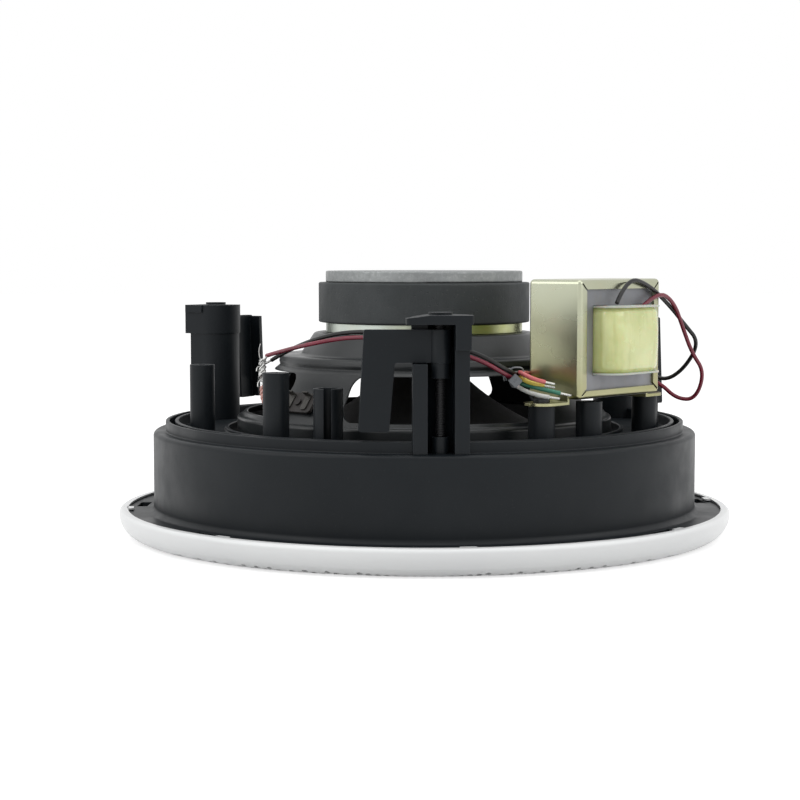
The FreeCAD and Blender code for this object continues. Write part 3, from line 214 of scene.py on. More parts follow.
@dataclass(frozen=True)
class Finish:
    """A surface finish: two tones that drift into each other, a fine grain, and softened edges painted
    lighter, partly as rubbed wear and partly as a painted highlight.
    """

    slot: str
    colour: Colour
    shade: Colour
    mottle: float = 40.0
    rough: Pair = (0.4, 0.5)
    metallic: float = 0.0
    specular: float = 0.5
    grain: float = 1500.0
    depth: float = 0.00001
    coat: float = 0.0
    sheen: float = 0.0
    soft: float = 0.0
    # The colour painted along the edges: partly rubbed wear, partly a painted highlight where the edges catch
    # the light.
    edge: Colour | None = None
    edge_radius: float = 0.0003
    dust: float = 0.0
    variant: str = ""

    def tone(self, sheet: NodeSheet) -> Socket:
        """The drifting base colour."""
        return sheet.blend(sheet.span(sheet.noise(self.mottle, 4.0), 0.35, 0.65), self.colour, self.shade)

    def height(self, sheet: NodeSheet) -> Socket:
        """The fine relief, from 0 to 1."""
        return sheet.noise(self.grain)

    def material(self) -> bpy.types.Material:
        """Builds the material once and gives the same one after that.

        Returns:
            The material.
        """
        name = f"finish_{self.slot}{self.variant}"
        if name in bpy.data.materials:
            return bpy.data.materials[name]
        material = bpy.data.materials.new(name)
        sheet = NodeSheet(material)
        base = self.tone(sheet)
        normal = sheet.rounded(self.edge_radius)
        # Painted highlight along the edges, broken by noise so that it also reads as rubbed wear.
        if self.edge is not None:
            worn_and_highlit_edges = sheet.sum_of(sheet.edges(normal, 0.02, 0.3), sheet.noise(350.0, 4.0), "MULTIPLY")
            base = sheet.blend(sheet.span(worn_and_highlit_edges, 0.2, 0.6, 0.0, 0.85), base, self.edge)
        if self.dust:
            specks = sheet.span(sheet.noise(900.0, 5.0, roughness=0.75), 0.6, 0.82, 0.0, self.dust)
            base = sheet.blend(specks, base, DUST_COLOUR)
        shader = sheet.node("BsdfPrincipled", {
            "Base Color": base, "Metallic": self.metallic, "Specular IOR Level": self.specular,
            "Roughness": sheet.span(sheet.noise(self.mottle * 3.1, 4.0), 0.3, 0.7, *self.rough),
            "Normal": sheet.bump(self.height(sheet), self.depth, normal), "Sheen Weight": self.sheen,
            "Coat Weight": self.coat, "Coat Roughness": COAT_ROUGHNESS,
            "Subsurface Weight": self.soft, "Subsurface Scale": SOFT_REACH})
        sheet.node("OutputMaterial", {"Surface": shader.outputs["BSDF"]})
        return material


@dataclass(frozen=True)
class Plated(Finish):
    """Passivated zinc: colours that shift from end to end along one axis, a tint in fine clouds (painted gold
    highlights on the yellow zinc), and faint rolling lines.
    """

    tint: Colour = (0.6, 0.6, 0.6)
    axis: str = "Z"
    drift: Pair = (0.0, 0.1)

    def tone(self, sheet: NodeSheet) -> Socket:
        """The colour, shifted along one axis and in clouds, with the tint clouds over it.

        Args:
            sheet: The material's nodes.

        Returns:
            The colour.
        """
        cloud = sheet.span(sheet.noise(self.mottle), 0.3, 0.7, -0.3, 0.3)
        first = sheet.span(sheet.sum_of(sheet.along(self.axis, *self.drift), cloud), 0.0, 1.0)
        second = sheet.span(sheet.noise(self.mottle * 4.3, 5.0, roughness=0.7), 0.5, 0.8, 0.0, 0.45)
        return sheet.blend(second, sheet.blend(first, self.colour, self.shade), self.tint)

    def height(self, sheet: NodeSheet) -> Socket:
        """Rolling lines and a fine orange peel."""
        lines = sheet.noise(self.grain, 3.0, sheet.stretched(1.0, 1.0, 0.06))
        return sheet.sum_of(lines, sheet.noise(self.grain * 0.4, 2.0))


@dataclass(frozen=True)
class Pitted(Finish):
    """A ground ceramic or cast face with open pits."""

    def height(self, sheet: NodeSheet) -> Socket:
        """A ground face with pits in it."""
        ground = sheet.noise(self.grain * 1.4, 3.0, sheet.stretched(1.0, 1.0, 0.25))
        return sheet.sum_of(sheet.span(sheet.cells(self.grain), 0.08, 0.22), ground)


@dataclass(frozen=True)
class Woven(Finish):
    """Cloth: two crossed sets of threads, a little uneven."""

    def height(self, sheet: NodeSheet) -> Socket:
        """The raised threads."""
        return sheet.sum_of(sheet.waves(self.grain, "X", 0.6), sheet.waves(self.grain, "Y", 0.6), "MAXIMUM")


@dataclass(frozen=True)
class Fibrous(Finish):
    """Pressed paper or board: short fibres lying in all directions."""

    def height(self, sheet: NodeSheet) -> Socket:
        """Fibres lying two ways, over soft clouds.

        Args:
            sheet: The material's nodes.

        Returns:
            The relief.
        """
        ways = [sheet.noise(self.grain, 4.0, sheet.stretched(*way), 0.7)
                for way in ((0.15, 1, 0.6), (1, 0.15, 0.6))]
        return sheet.sum_of(sheet.sum_of(*ways), sheet.noise(self.grain * 0.2, 2.0))


@dataclass(frozen=True)
class Wrapped(Finish):
    """Clear tape over a winding: what lies below shows faintly through, and the tape creases upright."""

    turns: Colour = (0.5, 0.42, 0.1)

    def tone(self, sheet: NodeSheet) -> Socket:
        """The tape with the turns below it.

        Args:
            sheet: The material's nodes.

        Returns:
            The colour.
        """
        cloud = sheet.span(sheet.noise(self.mottle), 0.35, 0.7)
        lines = sheet.noise(self.mottle * 6.0, 2.0, sheet.stretched(1.0, 1.0, 0.12))
        tape = sheet.blend(cloud, self.colour, self.shade)
        return sheet.blend(sheet.span(lines, 0.5, 0.8, 0.0, 0.4), tape, self.turns)

    def height(self, sheet: NodeSheet) -> Socket:
        """Soft bulges with creases in the tape."""
        creases = sheet.noise(self.grain, 3.0, sheet.stretched(1.0, 1.0, 0.2))
        return sheet.sum_of(sheet.noise(self.mottle, 2.0), creases)


@dataclass(frozen=True)
class Cover(Finish):
    """A lead's soft plastic cover."""

    mottle: float = 120.0
    rough: Pair = (0.3, 0.42)
    grain: float = 900.0
    depth: float = 0.00003
    soft: float = 0.05


# Each edge colour below is lighter than its base: partly rubbed wear, partly a painted highlight along the
# edges.
BLACK_MOULDING = Finish("black_moulding", (0.0042, 0.0062, 0.0082), (0.0068, 0.0092, 0.0115), 22.0,
                        (0.36, 0.5), specular=0.2, grain=2600.0, depth=0.000012, edge=(0.085, 0.095, 0.105),
                        edge_radius=0.0004, dust=0.03)
WHITE_ENAMEL = Finish("white_enamel", (0.80, 0.81, 0.81), (0.76, 0.77, 0.775), 18.0, (0.3, 0.42), grain=520.0,
                      depth=0.00002, edge_radius=0.0002, coat=0.25)
BLACK_PAINT = Finish("black_paint", (0.0075, 0.0095, 0.0105), (0.011, 0.0135, 0.015), 30.0, (0.28, 0.42),
                     specular=0.42, grain=800.0, depth=0.000015, edge=(0.07, 0.075, 0.08), edge_radius=0.0004,
                     dust=0.05)
CARD = Fibrous("card", (0.17, 0.15, 0.12), (0.12, 0.105, 0.085), 60.0, (0.8, 0.95), specular=0.2, grain=900.0,
               depth=0.00006)
ROLL_RUBBER = Finish("roll_rubber", (0.014, 0.014, 0.014), (0.022, 0.022, 0.022), 55.0, (0.55, 0.75),
                     specular=0.3, grain=1800.0, depth=0.00002, sheen=0.08)
SPIDER_CLOTH = Woven("spider_cloth", (0.30, 0.19, 0.08), (0.22, 0.13, 0.05), 70.0, (0.75, 0.9), specular=0.2,
                     grain=330.0, depth=0.00018)
ZINC_PLATE = Plated("zinc_plate", (0.52, 0.57, 0.55), (0.42, 0.44, 0.20), 22.0, (0.24, 0.4), 1.0, grain=900.0,
                    depth=0.00001, tint=(0.62, 0.62, 0.52), axis="X", drift=(-0.03, 0.03))
FERRITE = Pitted("ferrite", (0.036, 0.041, 0.043), (0.023, 0.027, 0.028), 35.0, (0.5, 0.68), specular=0.4,
                 grain=620.0, depth=0.00007, edge=(0.13, 0.13, 0.13), edge_radius=0.0009, dust=0.16)
BRIGHT_STEEL = Plated("bright_steel", (0.36, 0.375, 0.37), (0.24, 0.25, 0.25), 160.0, (0.36, 0.62), 0.85,
                      grain=1400.0, depth=0.00004, edge=(0.62, 0.63, 0.62), edge_radius=0.0005,
                      tint=(0.46, 0.47, 0.46), dust=0.5)
LONG_SCREW = Finish("screw_steel", (0.008, 0.008, 0.009), (0.012, 0.012, 0.013), 90.0, (0.45, 0.55),
                    specular=0.3, grain=2200.0, depth=0.00001, variant="_blackened")
SCREW_STEEL = Finish("screw_steel", (0.035, 0.035, 0.036), (0.022, 0.022, 0.023), 90.0, (0.28, 0.42), 0.7,
                     grain=2200.0, depth=0.00001, edge=(0.12, 0.12, 0.12), edge_radius=0.0002)
FIBRE_BOARD = Fibrous("fibre_board", (0.013, 0.009, 0.008), (0.009, 0.007, 0.006), 90.0, (0.55, 0.7),
                      grain=1200.0, depth=0.00003)
TINNED_TAG = Finish("tinned_tag", (0.62, 0.62, 0.60), (0.48, 0.48, 0.47), 250.0, (0.25, 0.45), 1.0,
                    grain=1600.0, depth=0.00002, edge=(0.8, 0.8, 0.8), edge_radius=0.00015)
DULL_TAG = Finish("tinned_tag", (0.07, 0.068, 0.062), (0.045, 0.043, 0.04), 250.0, (0.4, 0.6), 0.6,
                  grain=1600.0, depth=0.00002, variant="_tarnished")
CORE_STEEL = Plated("core_steel", (0.30, 0.30, 0.31), (0.21, 0.215, 0.23), 45.0, (0.42, 0.6), 0.7,
                    grain=1500.0, depth=0.00002, tint=(0.25, 0.22, 0.19))
WHITE_BOBBIN = Finish("white_bobbin", (0.56, 0.59, 0.53), (0.48, 0.52, 0.45), 50.0, (0.4, 0.5), grain=1800.0,
                      depth=0.000012, soft=0.25, edge_radius=0.0002)
YELLOW_TAPE = Wrapped("yellow_tape", (0.72, 0.76, 0.36), (0.58, 0.62, 0.24), 70.0, (0.14, 0.3), grain=260.0,
                      depth=0.00005, coat=0.7, soft=0.2, turns=(0.42, 0.44, 0.14))
# Lighter and greyer towards the top, darker olive-gold towards the bottom; its tint clouds are painted gold
# highlights.
YELLOW_ZINC = Plated("yellow_zinc", (0.33, 0.32, 0.16), (0.47, 0.49, 0.38), 14.0, (0.24, 0.32), 1.0,
                     grain=1100.0, depth=0.000004, edge=(0.72, 0.70, 0.56), edge_radius=0.0003,
                     tint=(0.48, 0.40, 0.28), axis="Z", drift=(0.056, 0.096))
LEAD_BLACK = Cover("lead_black", (0.005, 0.005, 0.005), (0.009, 0.009, 0.009), specular=0.35, soft=0.0)
LEAD_RED = Cover("lead_red", (0.19, 0.007, 0.028), (0.13, 0.006, 0.02), rough=(0.28, 0.4))
LEAD_ORANGE = Cover("lead_orange", (0.64, 0.15, 0.15), (0.52, 0.11, 0.12))
LEAD_YELLOW = Cover("lead_yellow", (0.74, 0.60, 0.10), (0.64, 0.50, 0.08))
LEAD_GREEN = Cover("lead_green", (0.04, 0.20, 0.13), (0.03, 0.15, 0.10))
LEAD_WHITE = Cover("lead_white", (0.66, 0.67, 0.64), (0.56, 0.57, 0.54))
LEAD_PINK = Cover("lead_pink", (0.62, 0.34, 0.30), (0.52, 0.28, 0.24), 160.0, (0.3, 0.45))
GREY_TIE = Finish("grey_tie", (0.17, 0.18, 0.19), (0.12, 0.13, 0.14), 100.0, (0.25, 0.4), 0.2, grain=900.0,
                  depth=0.00002)
CONE_PAPER = Fibrous("cone_paper", (0.018, 0.018, 0.019), (0.028, 0.028, 0.028), 65.0, (0.75, 0.92),
                     specular=0.2, grain=650.0, depth=0.00009, sheen=0.15)
COIL_FORMER = Plated("coil_former", (0.55, 0.55, 0.54), (0.45, 0.45, 0.45), 90.0, (0.3, 0.45), 1.0,
                     grain=900.0, depth=0.00001)
COPPER = Finish("copper", (0.72, 0.33, 0.16), (0.58, 0.24, 0.11), 180.0, (0.22, 0.36), 1.0, grain=2400.0,
                depth=0.00003, edge_radius=0.0001)

NODE_FINISHES: dict[str, Finish] = {
    "posts": BLACK_MOULDING, "top_plate": ZINC_PLATE, "magnet": FERRITE, "yoke": BRIGHT_STEEL,
    "cone": CONE_PAPER, "dust_cap": CONE_PAPER, "former": COIL_FORMER, "voice_coil": COPPER, "gasket": CARD,
    "driver_screws": SCREW_STEEL, "terminal_strip": FIBRE_BOARD, "terminal_tags": DULL_TAG,
    "transformer_screws": SCREW_STEEL, "input_block": BLACK_MOULDING,
}


def scaled(points: Iterable[Sequence[float]]) -> list[Vector]:
    """Points in millimetres as vectors in metres."""
    return [Vector(point) * MM for point in points]


def polar(radius: float, angle: float) -> Pair:
    """The plan point at a radius and an angle in degrees."""
    return radius * math.cos(math.radians(angle)), radius * math.sin(math.radians(angle))


def finished_mesh(name: str, work: Mesh, merge: float = 1e-7) -> bpy.types.Object:
    """Turns a bmesh in metres into an object with smooth faces and hard edges kept sharp.

    Args:
        name: The piece's name.
        work: The mesh, which is freed.
        merge: Points nearer than this become one.

    Returns:
        The new object, linked to the scene.
    """
    if merge:
        bmesh.ops.remove_doubles(work, verts=work.verts[:], dist=merge)
    bmesh.ops.recalc_face_normals(work, faces=work.faces[:])
    for face in work.faces:
        face.smooth = True
    for edge in work.edges:
        if len(edge.link_faces) == 2 and edge.calc_face_angle(0.0) > SMOOTH_BELOW:
            edge.smooth = False
    mesh = bpy.data.meshes.new(name)
    work.to_mesh(mesh)
    work.free()
    return linked(name, mesh)


def linked(name: str, data: bpy.types.ID) -> bpy.types.Object:
    """Makes an object for its data and links it to the scene.

    Args:
        name: The object's name.
        data: Its mesh, curve, camera or lamp.

    Returns:
        The object.
    """
    item = bpy.data.objects.new(name, data)
    bpy.context.scene.collection.objects.link(item)
    return item


def dress(piece: bpy.types.Object, finish: Finish) -> None:
    """Gives a new piece its finish.

    Args:
        piece: The piece.
        finish: Its finish.
    """
    piece.data.materials.clear()
    piece.data.materials.append(finish.material())


def settle(piece: bpy.types.Object, finish: Finish, body: str, *nodes: str) -> None:
    """Dresses a new piece, puts it on its body and hides the CAD nodes that it stands in for.

    Args:
        piece: The piece.
        finish: Its finish.
        body: The name of the body that it rides on.
        nodes: The replaced nodes' names.
    """
    dress(piece, finish)
    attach(piece, body)
    for node in nodes:
        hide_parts(node)
    LOG.info("%s built", piece.name)


def add_loft(work: Mesh, rings: Sequence[Sequence[Vector]], closed: bool = True, caps: bool = True) -> None:
    """Adds a skin over rings of points.

    Args:
        work: The mesh that gets the skin.
        rings: Rings with the same number of points each, in metres.
        closed: Whether each ring closes on itself.
        caps: Whether the first and last ring are filled.
    """
    rows = [[work.verts.new(point) for point in ring] for ring in rings]
    count = len(rows[0])
    for low, high in zip(rows, rows[1:]):
        for i in range(count if closed else count - 1):
            j = (i + 1) % count
            work.faces.new((low[i], low[j], high[j], high[i]))
    if caps:
        work.faces.new(rows[0][::-1])
        work.faces.new(rows[-1])


def add_turned(work: Mesh, profile: Profile, segments: int, start: float = 0.0, sweep: float = 360.0,
               centre: Pair = DRUM_AXIS) -> None:
    """Adds a closed profile turned about an upright axis.

    Args:
        work: The mesh that gets it.
        profile: The closed outline of (radius, height), in millimetres.
        segments: Steps round the sweep.
        start: The first angle in degrees.
        sweep: How far it turns; less than 360 leaves two filled ends.
        centre: The axis's plan point.
    """
    whole = abs(sweep - 360.0) < 1e-6
    rings = []
    for k in range(segments if whole else segments + 1):
        angle = math.radians(start + sweep * k / segments)
        rings.append([
            Vector((centre[0] + r * math.cos(angle), centre[1] + r * math.sin(angle), z)) * MM
            for r, z in profile])
    if whole:
        rings.append(rings[0])
    add_loft(work, rings, caps=not whole)


def add_tube(work: Mesh, centres: Sequence[Vector], radius: float | Sequence[float], sides: int = 12) -> None:
    """Adds a round tube with flat ends along a line.

    Args:
        work: The mesh that gets it.
        centres: The line, in metres.
        radius: The tube's radius in millimetres, or one for each point.
        sides: Faces round it.
    """
    radii = [radius] * len(centres) if isinstance(radius, (int, float)) else list(radius)
    rings = []
    side = Vector((0, 0, 1))
    for i, here in enumerate(centres):
        ahead = centres[min(i + 1, len(centres) - 1)] - centres[max(i - 1, 0)]
        ahead.normalize()
        side = side - ahead * side.dot(ahead)
        if side.length < 1e-4:
            side = ahead.orthogonal()
        side.normalize()
        other = ahead.cross(side)
        rings.append([
            here + (side * math.cos(TURN * k / sides) + other * math.sin(TURN * k / sides)) * (radii[i] * MM)
            for k in range(sides)])
    add_loft(work, rings)


def set_at(centre: Pair, turn: float) -> Place:
    """Makes a function that moves points drawn about an upright axis to their place.

    Args:
        centre: The axis's plan point, in millimetres.
        turn: How far the drawing is turned about it, in degrees.

    Returns:
        A function from drawn millimetres to the frame's metres.
    """
    along, across = math.cos(math.radians(turn)), math.sin(math.radians(turn))

    def place(x: float, y: float, z: float) -> Vector:
        """The point moved to its place."""
        return Vector((centre[0] + x * along - y * across, centre[1] + x * across + y * along, z)) * MM

    return place


def arc(radius: float, first: float, last: float, steps: int = 24) -> Profile:
    """Plan points on an arc about the drawing's own axis, between two angles in degrees."""
    return [polar(radius, first + (last - first) * k / steps) for k in range(steps + 1)]


def circle(radius: float, steps: int = 24) -> Profile:
    """Plan points once round the drawing's own axis."""
    return arc(radius, 0, 360, steps)[:-1]


def add_prism(work: Mesh, plan: Profile, low: float, high: float, place: Place) -> None:
    """Adds an upright prism over a plan of (x, y) points between two heights, moved by the place function."""
    add_loft(work, [[place(x, y, z) for x, y in plan] for z in (low, high)])


def add_wall(work: Mesh, face: Profile, near: float, far: float, place: Place) -> None:
    """Adds an upright plate over a face of (x, z) points between two depths along Y, moved likewise."""
    add_loft(work, [[place(x, y, z) for x, z in face] for y in (near, far)])


def add_box(work: Mesh, low: Point, high: Point, place: Place) -> None:
    """Adds a block between two opposite corners, moved by the place function."""
    plan = [(low[0], low[1]), (high[0], low[1]), (high[0], high[1]), (low[0], high[1])]
    add_prism(work, plan, low[2], high[2], place)


def solid(add: Callable[..., None], *shape: object) -> Mesh:
    """Makes a new mesh with one shape in it.

    Args:
        add: The function that adds the shape.
        shape: What that function takes after the mesh.

    Returns:
        The mesh.
    """
    work = bmesh.new()
    add(work, *shape)
    return work


def rounded_line(points: Sequence[Sequence[float]], steps: int = CORNER_STEPS) -> Profile:
    """Points of a line or outline with each corner rounded by its own radius.

    Args:
        points: Each (x, y) or (x, y, radius).
        steps: Faces round each corner.

    Returns:
        The points, the rounded corners included.
    """
    dense: Profile = []
    for i, point in enumerate(points):
        here = Vector(point[:2])
        radius = point[2] if len(point) > 2 else 0.0
        if not radius:
            dense.append((here.x, here.y))
            continue
        back = (Vector(points[i - 1][:2]) - here).normalized()
        ahead = (Vector(points[(i + 1) % len(points)][:2]) - here).normalized()
        half = back.angle(ahead) / 2
        centre = here + (back + ahead).normalized() * (radius / math.sin(half))
        first = here + back * (radius / math.tan(half)) - centre
        last = here + ahead * (radius / math.tan(half)) - centre
        start = math.atan2(first.y, first.x)
        sweep = (math.atan2(last.y, last.x) - start + math.pi) % TURN - math.pi
        for k in range(steps + 1):
            angle = start + sweep * k / steps
            dense.append((centre.x + radius * math.cos(angle), centre.y + radius * math.sin(angle)))
    return dense


def sheet_outline(line: Profile, thickness: float) -> Profile:
    """The closed outline of a sheet on the right-hand side of an open line.

    Args:
        line: The open line.
        thickness: The sheet's thickness.

    Returns:
        The outline.
    """
    other = []
    for i, (x, y) in enumerate(line):
        last, following = line[max(i - 1, 0)], line[min(i + 1, len(line) - 1)]
        way = Vector((following[0] - last[0], following[1] - last[1])).normalized()
        other.append((x + way.y * thickness, y - way.x * thickness))
    return line + other[::-1]


def applied(piece: bpy.types.Object) -> Mesh:
    """A piece's mesh after its modifiers.

    Args:
        piece: The piece.

    Returns:
        The new mesh.
    """
    mesh = bpy.data.meshes.new_from_object(piece.evaluated_get(bpy.context.evaluated_depsgraph_get()))
    work = bmesh.new()
    work.from_mesh(mesh)
    bpy.data.meshes.remove(mesh)
    return work


def carved(name: str, base: Mesh, steps: Sequence[tuple[str, Mesh]]) -> bpy.types.Object:
    """A solid with others joined to it or cut from it, one after another.

    Args:
        name: The piece's name.
        base: The first solid, which is freed.
        steps: Each operation's name, UNION or DIFFERENCE, and its solid, which is freed.

    Returns:
        The piece, its flat faces shaded flat beside its round ones.
    """
    piece = finished_mesh("carved_base", base)
    spare = [piece]
    for operation, work in steps:
        tool = finished_mesh("carving_tool", work)
        step = piece.modifiers.new(operation, "BOOLEAN")
        step.operation = operation
        step.solver = "EXACT"
        step.object = tool
        spare.append(tool)
    result = applied(piece)
    for item in spare:
        bpy.data.objects.remove(item)
    piece = finished_mesh(name, result, 1e-6)
    piece.modifiers.new("even_normals", "WEIGHTED_NORMAL").keep_sharp = True
    return piece


def spline_curve(name: str, route: Sequence[Point], radius: float = 0.0) -> bpy.types.Object:
    """A smooth NURBS line through the air with a route's points as its control points.

    Args:
        name: The object's name.
        route: The points, in millimetres.
        radius: The tube's radius in millimetres, or 0 for the bare line.

    Returns:
        The curve object, linked to the scene.
    """
    curve = bpy.data.curves.new(name, "CURVE")
    curve.dimensions = "3D"
    curve.resolution_u = 14
    curve.bevel_depth = radius * MM
    curve.bevel_resolution = 5
    curve.use_fill_caps = True
    spline = curve.splines.new("NURBS")
    spline.points.add(len(route) - 1)
    for point, place in zip(spline.points, scaled(route)):
        point.co = (*place, 1.0)
    spline.order_u = 3
    spline.use_endpoint_u = True
    return linked(name, curve)


def line_points(route: Sequence[Point], step: float) -> list[Vector]:
    """Points along a route's smooth NURBS line, an even step apart.

    Args:
        route: The control points, in millimetres.
        step: The distance between points, in millimetres.

    Returns:
        The points, in metres.
    """
    guide = spline_curve("guide_line", route)
    mesh = bpy.data.meshes.new_from_object(guide)
    raw = [vertex.co.copy() for vertex in mesh.vertices]
    bpy.data.objects.remove(guide)
    bpy.data.meshes.remove(mesh)
    lengths = [0.0]
    for last, here in zip(raw, raw[1:]):
        lengths.append(lengths[-1] + (here - last).length)
    count = max(2, round(lengths[-1] / (step * MM)))
    points = []
    at = 0
    for k in range(count + 1):
        want = lengths[-1] * k / count
        while at < len(raw) - 2 and lengths[at + 1] < want:
            at += 1
        share = (want - lengths[at]) / max(lengths[at + 1] - lengths[at], 1e-12)
        points.append(raw[at].lerp(raw[at + 1], share))
    return points


def twisted(line: Sequence[Vector], offset: float, pitch: float, phase: float) -> list[Vector]:
    """One strand of a twist round a line.

    Args:
        line: The line, in metres.
        offset: The strand's distance from the line, in millimetres.
        pitch: The length of one turn, in millimetres.
        phase: Where the strand starts, in radians.

    Returns:
        The strand's centre line.
    """
    strand = []
    side = Vector((0.31, 0.2, 0.93))
    gone = 0.0
    for i, here in enumerate(line):
        if i:
            gone += (here - line[i - 1]).length
        ahead = (line[min(i + 1, len(line) - 1)] - line[max(i - 1, 0)]).normalized()
        side = (side - ahead * side.dot(ahead)).normalized()
        other = ahead.cross(side)
        turn = phase + TURN * gone / (pitch * MM)
        strand.append(here + (side * math.cos(turn) + other * math.sin(turn)) * (offset * MM))
    return strand


@dataclass(frozen=True)
class Studio:
    """The camera of the photograph, a white room and plain soft lamps."""

    camera_at: Point = (0.0, -713.33, 104.015)
    pitch_down: float = 0.0761
    turn: float = 0.0128
    lens: float = 84.30
    sensor: float = 36.0
    room_light: float = 0.62
    floor_half: float = 4500.0
    floor_z: float = -0.2
    floor_glow: float = 0.66
    floor_colour: Colour = (0.62, 0.62, 0.62)
    aim: Point = (0, 0, 50)
    lamps_at: tuple[tuple[str, Point, float, float], ...] = (
        ("lamp_left", (-900, -500, 650), 900, 4.2),
        ("lamp_right", (950, -450, 600), 900, 3.8),
        ("lamp_top", (0, -150, 1100), 1000, 3.6))

    def camera(self) -> None:
        """Makes the camera."""
        data = bpy.data.cameras.new("view")
        data.lens = self.lens
        data.sensor_width = self.sensor
        data.clip_end = 100.0
        camera = linked("view", data)
        camera.location = Vector(self.camera_at) * MM
        camera.rotation_euler = (math.pi / 2 - self.pitch_down, 0.0, self.turn)
        bpy.context.scene.camera = camera

    def room(self) -> None:
        """Makes the world, white to the eye and in reflections, and softer as a light."""
        scene = bpy.context.scene
        scene.view_settings.view_transform = "Standard"
        scene.world = bpy.data.worlds.new("white_room")
        sheet = NodeSheet(scene.world)
        strength = sheet.seen_strength(self.room_light, 1.0)
        back = sheet.node("Background", {"Color": (1.0, 1.0, 1.0), "Strength": strength})
        sheet.node("OutputWorld", {"Surface": back.outputs["Background"]})

    def floor(self) -> None:
        """Makes the pale floor, which keeps the shadow."""
        work = bmesh.new()
        corners = [(x * self.floor_half, y * self.floor_half, self.floor_z)
                   for x, y in ((-1, -1), (1, -1), (1, 1), (-1, 1))]
        work.faces.new([work.verts.new(corner) for corner in scaled(corners)])
        plane = finished_mesh("floor", work)
        material = bpy.data.materials.new("pale_floor")
        sheet = NodeSheet(material)
        matt = sheet.node("BsdfDiffuse", {"Color": self.floor_colour}).outputs["BSDF"]
        strength = sheet.seen_strength(0.0, self.floor_glow)
        glow = sheet.node("Emission", {"Strength": strength}).outputs["Emission"]
        both = sheet.node("AddShader", {0: matt, 1: glow}).outputs["Shader"]
        sheet.node("OutputMaterial", {"Surface": both})
        plane.data.materials.append(material)

    def lamps(self) -> None:
        """Makes the soft lamps."""
        for name, place, size, power in self.lamps_at:
            data = bpy.data.lights.new(name, "AREA")
            data.energy = power
            data.size = size * MM
            lamp = linked(name, data)
            lamp.location = Vector(place) * MM
            lamp.rotation_euler = (Vector(place) - Vector(self.aim)).to_track_quat("Z", "Y").to_euler()

    def build(self) -> None:
        """Makes everything but the camera, which comes first."""
        self.room()
        self.floor()
        self.lamps()


class FarEnd(Enum):
    """How a lead ends."""

    OBJECT = "object"
    BARE = "bare"


@dataclass(frozen=True)
class Lead:
    """One insulated wire along its hand-laid route."""

    name: str
    finish: Finish
    route: tuple[Point, ...]
    length: float
    far_end: FarEnd = FarEnd.OBJECT
    radius: float = 0.75

    def build(self) -> None:
        piece = spline_curve(f"{self.name}_wire", self.route, self.radius)
        settle(piece, self.finish, Body.HOUSING.value, self.name)
        tuple(c * MM for c in self.route[0])


